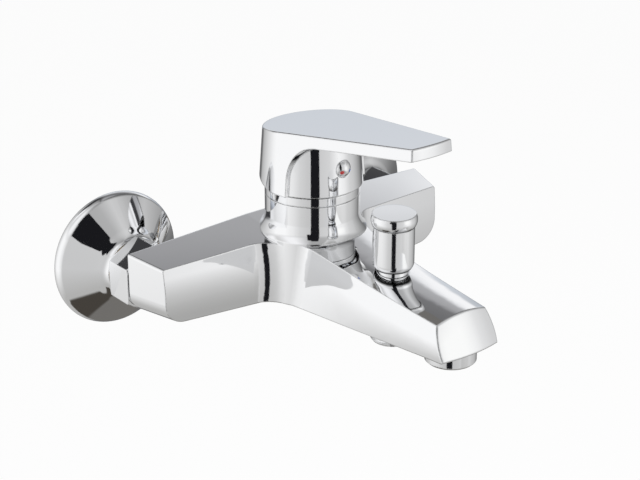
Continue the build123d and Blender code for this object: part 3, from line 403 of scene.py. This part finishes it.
def chrome_finish(settings, name="chrome_plate", painted_shade_below=None):
    """Bright plate with polishing haze, long waves and softly rounded edges; with a height given,
    painted shade on the downward faces below it.
    """
    bench = NodeBench(name)
    shader = bench.principled(settings.chrome, Metallic=1.0)
    # Painted shade: downward faces below the height take the dark underside colour
    if painted_shade_below is not None:
        feet = bench.feet(painted_shade_below)
        tone = bench.mixed(feet, tuple(settings.chrome), tuple(settings.cast))
        bench.link(tone, shader.inputs["Base Color"])
    place = bench.place()
    haze = bench.noise(place, CHROME_HAZE, 4.0, 0.6)
    rough = bench.spread(haze, settings.polish * CHROME_CLEAREST, settings.polish)
    bench.link(rough, shader.inputs["Roughness"])
    edge = bench.soft_edges(settings.soft_edge)
    wave = bench.noise(place, CHROME_WAVE, 1.0, 0.4)
    normal = bench.bump(wave, settings.waviness, edge)
    bench.link(normal, shader.inputs["Normal"])
    return bench.material


def turned_metal(name, color, roughness, stretch):
    """Machined metal: turning lines, a wandering tone and a fine haze."""
    bench = NodeBench(name)
    shader = bench.principled(color, Metallic=1.0)
    lines = bench.noise(bench.place(stretch), TURNING_LINES, 2.0, 0.5)
    cloud = bench.noise(bench.place(), METAL_CLOUD, 4.0, 0.55)
    bench.clouded(shader, cloud, color, 0.82, 1.1)
    bench.link(bench.spread(lines, roughness * 0.7, roughness * 1.3), shader.inputs["Roughness"])
    bench.link(bench.bump(lines, TURNING_DEPTH), shader.inputs["Normal"])
    return bench.material


def moulded(name, color, roughness, grain, depth, specular):
    """Moulded plastic or rubber with a fine grain."""
    bench = NodeBench(name)
    shader = bench.principled(color)
    shader.inputs["Specular IOR Level"].default_value = specular
    place = bench.place()
    fine = bench.noise(place, grain, 3.0, 0.55)
    cloud = bench.noise(place, MOULDED_CLOUD, 3.0, 0.5)
    bench.clouded(shader, cloud, color, 0.88, 1.08)
    bench.link(bench.spread(cloud, roughness * 0.8, roughness * 1.2), shader.inputs["Roughness"])
    bench.link(bench.bump(fine, depth), shader.inputs["Normal"])
    return bench.material


def enamel(name, color):
    """Coloured enamel filled into the index button."""
    bench = NodeBench(name)
    shader = bench.principled(color)
    shader.inputs["Coat Weight"].default_value = 0.6
    shader.inputs["Coat Roughness"].default_value = 0.05
    cloud = bench.noise(bench.place(), ENAMEL_CLOUD, 2.0, 0.5)
    bench.clouded(shader, cloud, color, 0.85, 1.1)
    bench.link(bench.spread(cloud, 0.15, 0.3), shader.inputs["Roughness"])
    bench.link(bench.bump(cloud, ENAMEL_DEPTH), shader.inputs["Normal"])
    return bench.material


def coat(nodes, material):
    """Puts a finish on nodes of the frame."""
    for name in nodes:
        slots = frame["nodes"][name].data.materials
        slots.clear()
        slots.append(material)


def finish_named(name):
    """A finish that an earlier step made."""
    found = bpy.data.materials.get(name)
    if found is None:
        raise RuntimeError("the finish " + name + " has not been made")
    return found


def clear_piece(name):
    """Takes away what an earlier run of the same step made."""
    old = bpy.data.objects.get(name)
    if old is not None:
        bpy.data.objects.remove(old)


CRISP_CORNER = radians(40.0)


def new_piece(name, points, faces, finish):
    """A mesh piece with smooth faces and crisp corners."""
    clear_piece(name)
    mesh = bpy.data.meshes.new(name)
    mesh.from_pydata(points, [], faces)
    mesh.validate()
    mesh.shade_smooth()
    mesh.set_sharp_from_angle(angle=CRISP_CORNER)
    mesh.materials.append(finish_named(finish))
    piece = bpy.data.objects.new(name, mesh)
    bpy.context.scene.collection.objects.link(piece)
    return piece


def band_faces(rings, sides, closed):
    """Quads between neighbouring rings of points."""
    faces = []
    last = rings if closed else rings - 1
    for ring in range(last):
        here = ring * sides
        there = ((ring + 1) % rings) * sides
        for side in range(sides):
            turn = (side + 1) % sides
            faces.append((here + side, here + turn, there + turn, there + side))
    return faces


def eased(share):
    """A share from nought to one that starts and stops gently."""
    return share * share * (3.0 - 2.0 * share)


# Pipe thread form, in shares of a pitch: bevel at the free end, flat at the crest, slope of a flank
END_BEVEL = 0.8
CREST_FLAT = 0.14
FLANK_SLOPE = 0.72


def thread_ring(settings, along, start, end, crest, free_end):
    """Radii of a pipe thread round one ring, bevelled at its free end and run out at the other."""
    pitch = settings.pitch
    depth = settings.depth
    into = abs(along - free_end)
    other = abs(along - (start if free_end == end else end))
    runout = min(1.0, other / pitch)
    bevel = crest - depth * max(0.0, 1.0 - into / (END_BEVEL * pitch))
    radii = []
    for side in range(settings.sides):
        phase = (along / pitch - side / settings.sides) % 1.0
        flank = abs(2.0 * phase - 1.0)
        cut = eased(min(1.0, max(0.0, (flank - CREST_FLAT) / FLANK_SLOPE)))
        radii.append(min(crest - depth * runout * cut, bevel))
    return radii


def ring_points(centre, first, second, radii):
    """Points of one ring round a centre."""
    count = len(radii)
    points = []
    for side, radius in enumerate(radii):
        angle = tau * side / count
        points.append(centre + radius * (cos(angle) * first + sin(angle) * second))
    return points


def stations(start, end, step):
    """Evenly spaced places from start to end."""
    count = max(1, ceil(abs(end - start) / step))
    return [start + (end - start) * index / count for index in range(count + 1)]


# Wall unions, millimetres: wall thread, eccentric neck, front thread and the two bores
UNION_X = 75.0
UNION_RISE = 8.0
WALL_END = 18.0
WALL_THREAD_FOOT = -3.0
WALL_CREST = 10.48
WALL_BORE = 7.0
NECK_BACK = (-3.0, 12.0)
NECK_FRONT = (-11.0, 13.22)
FRONT_END = -31.0
FRONT_BORE = 8.0
BORE_TURN = (-4.0, -10.0)
BORE_BEVEL = 0.4
SUPPLIES = (("left", -UNION_X), ("right", UNION_X))


def union_rings(settings, x):
    """Rings of a wall union, out along its skin and back through its bore."""
    first = Vector((0.0, 0.0, 1.0))
    second = Vector((1.0, 0.0, 0.0))
    sides = settings.sides
    step = settings.pitch / settings.steps / MM

    def ring(y, rise, radii):
        return ring_points(Vector((x, y, rise)) * MM, first, second, [r * MM for r in radii])

    def plain(y, rise, radius):
        return ring(y, rise, [radius] * sides)

    def threaded(y, rise, start, end, crest, free_end):
        radii = thread_ring(settings, y * MM, start * MM, end * MM, crest * MM, free_end * MM)
        return ring(y, rise, [r / MM for r in radii])

    rings = []
    for y in stations(WALL_END, WALL_THREAD_FOOT, step):
        rings.append(threaded(y, 0.0, WALL_THREAD_FOOT, WALL_END, WALL_CREST, WALL_END))
    rings.append(plain(NECK_BACK[0], 0.0, NECK_BACK[1]))
    for share in (0.25, 0.5, 0.75, 1.0):
        y = NECK_BACK[0] + (NECK_FRONT[0] - NECK_BACK[0]) * share
        radius = NECK_BACK[1] + (NECK_FRONT[1] - NECK_BACK[1]) * share
        rings.append(plain(y, UNION_RISE * share, radius))
    for y in stations(NECK_FRONT[0], FRONT_END, step)[1:]:
        rings.append(threaded(y, UNION_RISE, FRONT_END, NECK_FRONT[0], NECK_FRONT[1], FRONT_END))
    rings.append(plain(FRONT_END, UNION_RISE, FRONT_BORE + BORE_BEVEL))
    rings.append(plain(FRONT_END + BORE_BEVEL, UNION_RISE, FRONT_BORE))
    for share in (0.0, 0.25, 0.5, 0.75, 1.0):
        y = BORE_TURN[1] + (BORE_TURN[0] - BORE_TURN[1]) * share
        radius = FRONT_BORE + (WALL_BORE - FRONT_BORE) * share
        rings.append(plain(y, UNION_RISE * (1.0 - eased(share)), radius))
    rings.append(plain(WALL_END - BORE_BEVEL, 0.0, WALL_BORE))
    rings.append(plain(WALL_END, 0.0, WALL_BORE + BORE_BEVEL))
    return rings


def closed_sweep(name, rings, finish):
    """A closed piece from rings that lead out and back."""
    points = [point for ring in rings for point in ring]
    faces = band_faces(len(rings), len(rings[0]), True)
    return new_piece(name, points, faces, finish)


# Shower nipple, millimetres: axis, then places and radii of its skin and bore
NIPPLE_Y = -125.9
NIPPLE_TOP = 1.0
NIPPLE_SPIGOT = 8.35
GROOVE = (-0.4, -1.6, 7.25)
COLLAR = (-3.0, -5.0, 11.2)
NIPPLE_CREST = 10.48
NIPPLE_END = -12.6
NIPPLE_BORE = 6.4
NIPPLE_LIP = -0.6
NIPPLE_ORIFICE = 4.4
NIPPLE_BEVEL = 0.3
NIPPLE_BORE_BEVEL = 0.5


def nipple_rings(settings):
    """Rings of the shower nipple, down its skin and up through its bore."""
    first = Vector((0.0, 1.0, 0.0))
    second = Vector((1.0, 0.0, 0.0))
    sides = settings.sides
    step = settings.pitch / settings.steps / MM

    def ring(z, radii):
        return ring_points(Vector((0.0, NIPPLE_Y, z)) * MM, first, second, [r * MM for r in radii])

    def plain(z, radius):
        return ring(z, [radius] * sides)

    rings = [
        plain(NIPPLE_TOP, NIPPLE_SPIGOT - NIPPLE_BEVEL),
        plain(NIPPLE_TOP - NIPPLE_BEVEL, NIPPLE_SPIGOT),
        plain(GROOVE[0], NIPPLE_SPIGOT),
        plain(GROOVE[0], GROOVE[2]),
        plain(GROOVE[1], GROOVE[2]),
        plain(GROOVE[1], NIPPLE_SPIGOT),
        plain(COLLAR[0], NIPPLE_SPIGOT),
        plain(COLLAR[0], COLLAR[2]),
        plain(COLLAR[1] + NIPPLE_BEVEL, COLLAR[2]),
        plain(COLLAR[1], COLLAR[2] - NIPPLE_BEVEL),
    ]
    start = -COLLAR[1] * MM
    end = -NIPPLE_END * MM
    for z in stations(COLLAR[1], NIPPLE_END, step):
        radii = thread_ring(settings, -z * MM, start, end, NIPPLE_CREST * MM, end)
        rings.append(ring(z, [r / MM for r in radii]))
    rings += [
        plain(NIPPLE_END, NIPPLE_BORE + NIPPLE_BORE_BEVEL),
        plain(NIPPLE_END + NIPPLE_BORE_BEVEL, NIPPLE_BORE),
        plain(NIPPLE_LIP, NIPPLE_BORE),
        plain(NIPPLE_LIP, NIPPLE_ORIFICE),
        plain(NIPPLE_TOP, NIPPLE_ORIFICE),
    ]
    return rings


# Filter screens, millimetres: centre of the washer and radius to which the wires reach
SCREEN_Y = -32.0
SCREEN_R = 6.6
WIRE_SIDES = 6
STEPS_BETWEEN_WIRES = 4


def woven_screen(settings, x):
    """Points and faces of a plain weave of wires across a filter washer."""
    pitch = settings.mesh / MM
    radius = settings.wire / MM / 2.0
    count = int(SCREEN_R / pitch)
    points = []
    faces = []
    for upright in (False, True):
        for wire in range(-count, count + 1):
            offset = wire * pitch
            reach = sqrt(SCREEN_R**2 - offset**2)
            sign = 1.0 if (wire % 2 == 0) != upright else -1.0
            line = []
            for along in stations(-reach, reach, pitch / STEPS_BETWEEN_WIRES):
                lift = sign * radius * cos(pi * along / pitch)
                spot = (offset, along) if upright else (along, offset)
                line.append(Vector((x + spot[0], SCREEN_Y + lift, UNION_RISE + spot[1])) * MM)
            first = Vector((0.0, 1.0, 0.0))
            second = Vector((1.0, 0.0, 0.0)) if upright else Vector((0.0, 0.0, 1.0))
            base = len(points)
            for spot in line:
                points += ring_points(spot, first, second, [radius * MM] * WIRE_SIDES)
            for face in band_faces(len(line), WIRE_SIDES, False):
                faces.append(tuple(base + corner for corner in face))
            faces.append(tuple(base + side for side in reversed(range(WIRE_SIDES))))
            foot = base + (len(line) - 1) * WIRE_SIDES
            faces.append(tuple(foot + side for side in range(WIRE_SIDES)))
    return points, faces


# Moulded finishes: roughness, grains in a metre, height of the grain and strength of the gloss
MOULDED_RUBBER = (0.6, 2600.0, 0.00002, 0.3)
MOULDED_HOUSING = (0.42, 3200.0, 0.00001, 0.5)
MOULDED_JETS = (0.36, 3200.0, 0.00001, 0.5)
FIRED_CERAMIC = (0.16, 1800.0, 0.000002, 0.5)
# Machined finishes: roughness, and the stretch that lays the turning lines across an axis
TURNED_BRASS = (0.32, (1.0, 14.0, 1.0))
TURNED_STEEL = (0.28, (1.0, 1.0, 14.0))


class FAUCET_OT_finishes(Operator):
    """Make the faucet's finishes and put them on its pieces."""

    bl_idname = "faucet.finishes"
    bl_label = "Finishes"

    def execute(self, context):
        colors = context.scene.faucet_finish
        coat(CHROME_NODES, chrome_finish(colors))
        # Chrome with painted shade on the undersides of the skirt, cover and knob
        coat(SHADED_UNDERSIDE_NODES, chrome_finish(colors, "chrome_plate_painted_underside_shade", SHADED_UNDERSIDE_BELOW))
        coat(BRASS_NODES, turned_metal("plain_brass", colors.brass, *TURNED_BRASS))
        coat(STEEL_NODES, turned_metal("stainless", colors.steel, *TURNED_STEEL))
        coat(RUBBER_NODES, moulded("seal_rubber", colors.rubber, *MOULDED_RUBBER))
        coat(HOUSING_NODES, moulded("cartridge_plastic", colors.housing, *MOULDED_HOUSING))
        coat(JET_NODES, moulded("jet_plastic", colors.jets, *MOULDED_JETS))
        coat(CERAMIC_NODES, moulded("ceramic", colors.ceramic, *FIRED_CERAMIC))
        coat(("hot_mark",), enamel("hot_red", colors.hot))
        coat(("cold_mark",), enamel("cold_blue", colors.cold))
        return {"FINISHED"}


class FAUCET_OT_wall_unions(Operator):
    """Cut real pipe threads on the two eccentric wall unions."""

    bl_idname = "faucet.wall_unions"
    bl_label = "Wall unions"

    def execute(self, context):
        settings = context.scene.faucet_thread
        for side, x in SUPPLIES:
            piece = closed_sweep("threaded_union_" + side, union_rings(settings, x), "plain_brass")
            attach(piece, "mixer_body")
            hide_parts("wall_union_" + side)
        return {"FINISHED"}


class FAUCET_OT_shower_nipple(Operator):
    """Cut the hose thread on the shower nipple under the spout."""

    bl_idname = "faucet.shower_nipple"
    bl_label = "Shower nipple"

    def execute(self, context):
        settings = context.scene.faucet_thread
        piece = closed_sweep("threaded_nipple", nipple_rings(settings), "chrome_plate")
        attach(piece, "mixer_body")
        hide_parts("shower_outlet")
        return {"FINISHED"}


class FAUCET_OT_filter_screens(Operator):
    """Weave the wire screens inside the filter washers."""

    bl_idname = "faucet.filter_screens"
    bl_label = "Filter screens"

    def execute(self, context):
        settings = context.scene.faucet_screen
        for side, x in SUPPLIES:
            points, faces = woven_screen(settings, x)
            piece = new_piece("filter_screen_" + side, points, faces, "stainless")
            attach(piece, "mixer_body")
        return {"FINISHED"}


# Light tent round the faucet, a ball of cloth. Places on it are headings, turned to the right from
# facing the wall, and height angles, both in degrees.
TENT_R = 0.72
TENT_SEGMENTS = 64
TENT_RINGS = 32
# Brightness of the cloth by heading, and how much of it is left by height angle
TENT_LEVELS = (
    (-180.0, 0.68),
    (-160.0, 0.62),
    (-130.0, 0.59),
    (-112.0, 0.67),
    (-95.0, 0.84),
    (-75.0, 0.98),
    (-50.0, 0.98),
    (-36.0, 0.82),
    (-10.0, 0.55),
    (-1.0, 0.45),
    (6.0, 0.17),
    (24.0, 0.13),
    (60.0, 0.10),
    (72.0, 0.16),
    (84.0, 0.30),
    (97.0, 0.44),
    (112.0, 0.59),
    (126.0, 0.66),
    (142.0, 0.86),
    (155.0, 0.94),
    (170.0, 0.78),
    (180.0, 0.68),
)
TENT_FADE = (
    (-90.0, 1.0),
    (22.0, 1.0),
    (33.0, 0.70),
    (60.0, 0.62),
    (90.0, 0.50),
)
# Cool back panel behind the right arm: colour by height angle, and the headings that it spans
PANEL_COLORS = (
    (-12.0, (0.14, 0.14, 0.145)),
    (2.0, (0.45, 0.48, 0.53)),
    (8.0, (0.605, 0.64, 0.69)),
    (20.0, (0.68, 0.70, 0.735)),
    (26.0, (0.74, 0.75, 0.77)),
    (31.0, (0.43, 0.433, 0.445)),
    (38.0, (0.37, 0.37, 0.38)),
    (40.5, (0.30, 0.30, 0.31)),
    (43.0, (0.185, 0.185, 0.19)),
    (55.0, (0.155, 0.155, 0.16)),
    (70.0, (0.35, 0.35, 0.36)),
)
PANEL_SPAN = ((5.0, 0.0), (18.0, 1.0), (56.0, 1.0), (72.0, 0.0))
# Soft patches on the cloth: colour, headings and height angles where each fades in and out
FLOOR_CLOTH = (0.46, 0.457, 0.448)
FLOOR_CLOTH_HEIGHTS = (-90.0, -89.0, -48.0, -15.0)
TENT_PATCHES = (
    ((0.93, 0.93, 0.94), (-138.0, -92.0, -74.0, -52.0), (24.0, 34.0, 62.0, 80.0)),
    ((0.95, 0.95, 0.96), (-48.0, -38.0, -28.0, -22.0), (27.0, 34.0, 52.0, 62.0)),
    ((0.045, 0.045, 0.048), (-27.0, -21.0, 6.0, 14.0), (27.0, 33.0, 52.0, 62.0)),
    ((0.95, 0.95, 0.96), (49.0, 54.0, 64.0, 72.0), (13.0, 17.0, 23.0, 32.0)),
    ((1.0, 1.0, 0.985), (136.0, 150.0, 164.0, 174.0), (-9.0, 0.0, 14.0, 24.0)),
    (FLOOR_CLOTH, (-180.0, -179.0, -8.0, 14.0), FLOOR_CLOTH_HEIGHTS),
    (FLOOR_CLOTH, (82.0, 104.0, 179.0, 180.0), FLOOR_CLOTH_HEIGHTS),
    ((0.40, 0.398, 0.39), (134.0, 150.0, 172.0, 180.0), (-90.0, -89.0, -38.0, -14.0)),
)

# Dark cards beside the camera: left, right, lower and upper edges on an upright plane there
CARD_PLACE = Vector((-0.148, -0.327, 0.05))
CARD_EDGES = ((-0.068, 0.033, -0.30, 0.30), (-0.115, -0.068, 0.05, 0.26))
CARD_COLOR = (0.010, 0.010, 0.012)
# Dull table tops below: centre, half sides and colour, and the share of a side that fades out
TABLES = (
    (Vector((0.135, -0.06, -0.30)), (0.265, 0.16), (0.165, 0.158, 0.148)),
    (Vector((-0.155, -0.085, -0.28)), (0.085, 0.10), (0.060, 0.053, 0.045)),
)
TABLE_SOFT = 0.12
# Middle of the faucet, round which the stage stands
STAGE_CENTRE = Vector((0.0, -0.09, 0.01))
# Soft lamps: place, side and share of the key lamp's power
LAMPS = (
    ("key_lamp", (-0.9, -1.1, 1.3), 1.2, 1.0),
    ("side_lamp", (1.3, -0.7, 0.9), 1.0, 0.5),
    ("top_lamp", (0.1, -0.1, 1.6), 1.4, 0.6),
)
SENSOR_WIDTH = 36.0


def stage_plane(name, centre, across, up, material):
    """A flat stage piece spanned by two half sides."""
    clear_piece(name)
    spots = ((0, 0), (1, 0), (1, 1), (0, 1))
    corners = [centre + across * (2 * u - 1) + up * (2 * v - 1) for u, v in spots]
    mesh = bpy.data.meshes.new(name)
    mesh.from_pydata(corners, [], [(0, 1, 2, 3)])
    layer = mesh.uv_layers.new(name="UVMap")
    for loop, spot in zip(layer.data, spots):
        loop.uv = spot
    mesh.materials.append(material)
    plane = bpy.data.objects.new(name, mesh)
    bpy.context.scene.collection.objects.link(plane)
    return plane


def card_material(name, color, soft):
    """A card that only shows its colour, fading out at its edges."""
    bench = NodeBench(name)
    glow = bench.add("ShaderNodeEmission", None, Strength=1.0)
    glow.inputs["Color"].default_value = (*color, 1.0)
    if soft <= 0.0:
        bench.link(glow.outputs["Emission"], bench.output.inputs["Surface"])
        return bench.material
    coords = bench.add("ShaderNodeTexCoord")
    split = bench.add("ShaderNodeSeparateXYZ")
    bench.link(coords.outputs["UV"], split.inputs["Vector"])
    product = bench.add("ShaderNodeMath", {"operation": "MULTIPLY"})
    for index, axis in enumerate(("X", "Y")):
        fold = bench.add("ShaderNodeMath", {"operation": "PINGPONG"})
        fold.inputs[1].default_value = 0.5
        bench.link(split.outputs[axis], fold.inputs[0])
        ease = bench.add("ShaderNodeMapRange", {"interpolation_type": "SMOOTHSTEP"})
        ease.inputs["From Max"].default_value = soft
        bench.link(fold.outputs["Value"], ease.inputs["Value"])
        bench.link(ease.outputs["Result"], product.inputs[index])
    clear = bench.add("ShaderNodeBsdfTransparent")
    mix = bench.add("ShaderNodeMixShader")
    bench.link(product.outputs["Value"], mix.inputs["Fac"])
    bench.link(clear.outputs["BSDF"], mix.inputs[1])
    bench.link(glow.outputs["Emission"], mix.inputs[2])
    bench.link(mix.outputs["Shader"], bench.output.inputs["Surface"])
    return bench.material


def heading_stop(degrees):
    """Place of a heading on a ramp round the tent."""
    return (degrees + 180.0) / 360.0


def height_stop(degrees):
    """Place of a height angle on a ramp up the tent."""
    return (sin(radians(degrees)) + 1.0) / 2.0


def ramp_of(bench, value, stops):
    """A colour ramp with a stop at each place."""
    ramp = bench.add("ShaderNodeValToRGB")
    elements = ramp.color_ramp.elements
    while len(elements) < len(stops):
        elements.new(0.5)
    for element, (place, color) in zip(elements, stops):
        element.position = place
        element.color = (*color, 1.0)
    bench.link(value, ramp.inputs["Fac"])
    return ramp.outputs["Color"]


def grey(level):
    return (level, level, level)


def patch_span(bench, value, stops):
    """One between the two middle stops, easing to nought at the outer ones."""
    levels = (grey(0.0), grey(1.0), grey(1.0), grey(0.0))
    return ramp_of(bench, value, list(zip(stops, levels)))


def tent_material():
    """Softly graded white cloth, with a cooler panel at the back and a few patches."""
    bench = NodeBench("light_tent")
    coords = bench.add("ShaderNodeTexCoord")
    split = bench.add("ShaderNodeSeparateXYZ")
    bench.link(coords.outputs["Object"], split.inputs["Vector"])
    turn = bench.add("ShaderNodeMath", {"operation": "ARCTAN2"})
    bench.link(split.outputs["X"], turn.inputs[0])
    bench.link(split.outputs["Y"], turn.inputs[1])
    heading = bench.spread(turn.outputs["Value"], 0.0, 1.0, (-pi, pi))
    height = bench.spread(split.outputs["Z"], 0.0, 1.0, (-TENT_R, TENT_R))
    around = ramp_of(bench, heading, [(heading_stop(a), grey(v)) for a, v in TENT_LEVELS])
    fade = ramp_of(bench, height, [(height_stop(a), grey(v)) for a, v in TENT_FADE])
    panel = ramp_of(bench, height, [(height_stop(a), c) for a, c in PANEL_COLORS])
    span = ramp_of(bench, heading, [(heading_stop(a), grey(v)) for a, v in PANEL_SPAN])
    cloth = bench.mixed(span, bench.mixed(1.0, around, fade, "MULTIPLY"), panel)
    for color, headings, heights in TENT_PATCHES:
        wide = patch_span(bench, heading, [heading_stop(a) for a in headings])
        tall = patch_span(bench, height, [height_stop(a) for a in heights])
        cloth = bench.mixed(bench.mixed(1.0, wide, tall, "MULTIPLY"), cloth, color)
    glow = bench.add("ShaderNodeEmission", None, Strength=1.0)
    bench.link(cloth, glow.inputs["Color"])
    bench.link(glow.outputs["Emission"], bench.output.inputs["Surface"])
    return bench.material


def only_reflected(piece):
    """Keeps a stage piece out of everything but reflections."""
    piece.visible_camera = False
    piece.visible_diffuse = False
    piece.visible_shadow = False
    piece.visible_transmission = False


def light_tent():
    """A ball of cloth round the faucet that shows only in its reflections."""
    clear_piece("light_tent")
    mesh = bpy.data.meshes.new("light_tent")
    ball = bmesh.new()
    bmesh.ops.create_uvsphere(
        ball, u_segments=TENT_SEGMENTS, v_segments=TENT_RINGS, radius=TENT_R
    )
    ball.to_mesh(mesh)
    ball.free()
    mesh.materials.append(tent_material())
    tent = bpy.data.objects.new("light_tent", mesh)
    tent.location = STAGE_CENTRE
    bpy.context.scene.collection.objects.link(tent)
    only_reflected(tent)


def seen_directly(tree):
    """One where a ray comes from the camera, a reflection or a clear piece, else nought."""
    path = tree.nodes.new("ShaderNodeLightPath")
    total = path.outputs["Is Camera Ray"]
    for name in ("Is Glossy Ray", "Is Transmission Ray"):
        either = tree.nodes.new("ShaderNodeMath")
        either.operation = "MAXIMUM"
        tree.links.new(total, either.inputs[0])
        tree.links.new(path.outputs[name], either.inputs[1])
        total = either.outputs["Value"]
    return total


def white_surroundings(daylight):
    """White world where it is seen, and a softer light on matt pieces."""
    world = bpy.data.worlds.get("white_room") or bpy.data.worlds.new("white_room")
    world.use_nodes = True
    tree = world.node_tree
    tree.nodes.clear()
    output = tree.nodes.new("ShaderNodeOutputWorld")
    sky = tree.nodes.new("ShaderNodeBackground")
    sky.inputs["Color"].default_value = (1.0, 1.0, 1.0, 1.0)
    level = tree.nodes.new("ShaderNodeMapRange")
    level.inputs["To Min"].default_value = daylight
    level.inputs["To Max"].default_value = 1.0
    tree.links.new(seen_directly(tree), level.inputs["Value"])
    tree.links.new(level.outputs["Result"], sky.inputs["Strength"])
    tree.links.new(sky.outputs["Background"], output.inputs["Surface"])
    bpy.context.scene.world = world


# Floor: half side, and the share of plain white where it is seen
FLOOR_HALF = 12.0
FLOOR_GLOW = 0.93
FLOOR_CLOUD = 6.0


def floor_material(color):
    """Pale matt floor that stays white where it is seen and keeps the shadow."""
    bench = NodeBench("pale_floor")
    matt = bench.add("ShaderNodeBsdfPrincipled")
    cloud = bench.noise(bench.place(), FLOOR_CLOUD, 3.0, 0.5)
    bench.clouded(matt, cloud, color, 0.985, 1.0)
    bench.link(bench.spread(cloud, 0.75, 0.9), matt.inputs["Roughness"])
    matt.inputs["Specular IOR Level"].default_value = 0.1
    glow = bench.add("ShaderNodeEmission", None, Strength=1.0)
    share = bench.add("ShaderNodeMath", {"operation": "MULTIPLY"})
    share.inputs[1].default_value = FLOOR_GLOW
    bench.link(seen_directly(bench.tree), share.inputs[0])
    mix = bench.add("ShaderNodeMixShader")
    bench.link(share.outputs["Value"], mix.inputs["Fac"])
    bench.link(matt.outputs["BSDF"], mix.inputs[1])
    bench.link(glow.outputs["Emission"], mix.inputs[2])
    bench.link(mix.outputs["Shader"], bench.output.inputs["Surface"])
    return bench.material


def soft_lamp(name, place, size, power):
    """A large square lamp aimed at the faucet, kept out of its reflections."""
    clear_piece(name)
    lamp = bpy.data.lights.new(name, "AREA")
    lamp.shape = "SQUARE"
    lamp.size = size
    lamp.energy = power
    holder = bpy.data.objects.new(name, lamp)
    holder.location = place
    holder.rotation_euler = (STAGE_CENTRE - Vector(place)).to_track_quat("-Z", "Y").to_euler()
    holder.visible_glossy = False
    bpy.context.scene.collection.objects.link(holder)


def photo_camera(scene, settings):
    """The camera at the photo's place and angle."""
    clear_piece("photo_camera")
    lens = bpy.data.cameras.new("photo_camera")
    lens.lens = settings.lens
    lens.sensor_width = SENSOR_WIDTH
    camera = bpy.data.objects.new("photo_camera", lens)
    camera.location = settings.camera_place
    pitch = radians(90.0) - settings.camera_pitch
    camera.rotation_euler = (pitch, 0.0, -settings.camera_heading)
    scene.collection.objects.link(camera)
    scene.camera = camera


class FAUCET_OT_stage(Operator):
    """Set up the floor, cards, lamps, white surroundings and camera."""

    bl_idname = "faucet.stage"
    bl_label = "Photo stage"

    def execute(self, context):
        scene = context.scene
        settings = scene.faucet_stage
        scene.view_settings.view_transform = "Standard"
        white_surroundings(settings.daylight)
        middle = Vector((0.0, 0.0, settings.floor_height))
        half_x = Vector((FLOOR_HALF, 0.0, 0.0))
        half_y = Vector((0.0, FLOOR_HALF, 0.0))
        stage_plane("pale_floor", middle, half_x, half_y, floor_material(settings.floor))
        light_tent()
        facing = (STAGE_CENTRE - CARD_PLACE) * Vector((1.0, 1.0, 0.0))
        sideways = facing.normalized().cross(Vector((0.0, 0.0, 1.0)))
        for number, (left, right, low, high) in enumerate(CARD_EDGES, 1):
            name = f"dark_card_{number}"
            middle = Vector((0.0, 0.0, (low + high) / 2))
            centre = CARD_PLACE + sideways * (left + right) / 2 + middle
            across = sideways * (right - left) / 2
            upright = Vector((0.0, 0.0, (high - low) / 2))
            card = card_material(name, CARD_COLOR, 0.0)
            only_reflected(stage_plane(name, centre, across, upright, card))
        for number, (centre, half, color) in enumerate(TABLES, 1):
            name = f"table_card_{number}"
            across = Vector((half[0], 0.0, 0.0))
            along = Vector((0.0, half[1], 0.0))
            top = card_material(name, color, TABLE_SOFT)
            only_reflected(stage_plane(name, centre, across, along, top))
        for name, place, size, share in LAMPS:
            soft_lamp(name, place, size, settings.key_power * share)
        photo_camera(scene, settings)
        return {"FINISHED"}


class FAUCET_PT_panel(Panel):
    """Settings and steps of the faucet's dressing."""

    bl_idname = "FAUCET_PT_panel"
    bl_label = "Bath Faucet"
    bl_space_type = "VIEW_3D"
    bl_region_type = "UI"
    bl_category = "Faucet"

    def draw(self, context):
        for group, steps in STEPS:
            box = self.layout.box()
            settings = getattr(context.scene, group)
            for name in settings.bl_rna.properties.keys():
                if name not in ("rna_type", "name"):
                    box.prop(settings, name)
            for step in steps:
                box.operator(step.bl_idname)


SETTINGS = (
    ("faucet_finish", FinishSettings),
    ("faucet_thread", ThreadSettings),
    ("faucet_screen", ScreenSettings),
    ("faucet_stage", StageSettings),
)
STEPS = (
    ("faucet_finish", (FAUCET_OT_finishes,)),
    ("faucet_thread", (FAUCET_OT_wall_unions, FAUCET_OT_shower_nipple)),
    ("faucet_screen", (FAUCET_OT_filter_screens,)),
    ("faucet_stage", (FAUCET_OT_stage,)),
)
OPERATORS = tuple(step for _, steps in STEPS for step in steps)


def register():
    for name, group in SETTINGS:
        bpy.utils.register_class(group)
        setattr(bpy.types.Scene, name, PointerProperty(type=group))
    for operator in OPERATORS:
        bpy.utils.register_class(operator)
    bpy.utils.register_class(FAUCET_PT_panel)


def unregister():
    bpy.utils.unregister_class(FAUCET_PT_panel)
    for operator in reversed(OPERATORS):
        bpy.utils.unregister_class(operator)
    for name, group in reversed(SETTINGS):
        delattr(bpy.types.Scene, name)
        bpy.utils.unregister_class(group)


def main():
    register()
    bpy.ops.faucet.finishes()
    bpy.ops.faucet.wall_unions()
    bpy.ops.faucet.shower_nipple()
    bpy.ops.faucet.filter_screens()
    bpy.ops.faucet.stage()


if __name__ == "__main__":
    main()
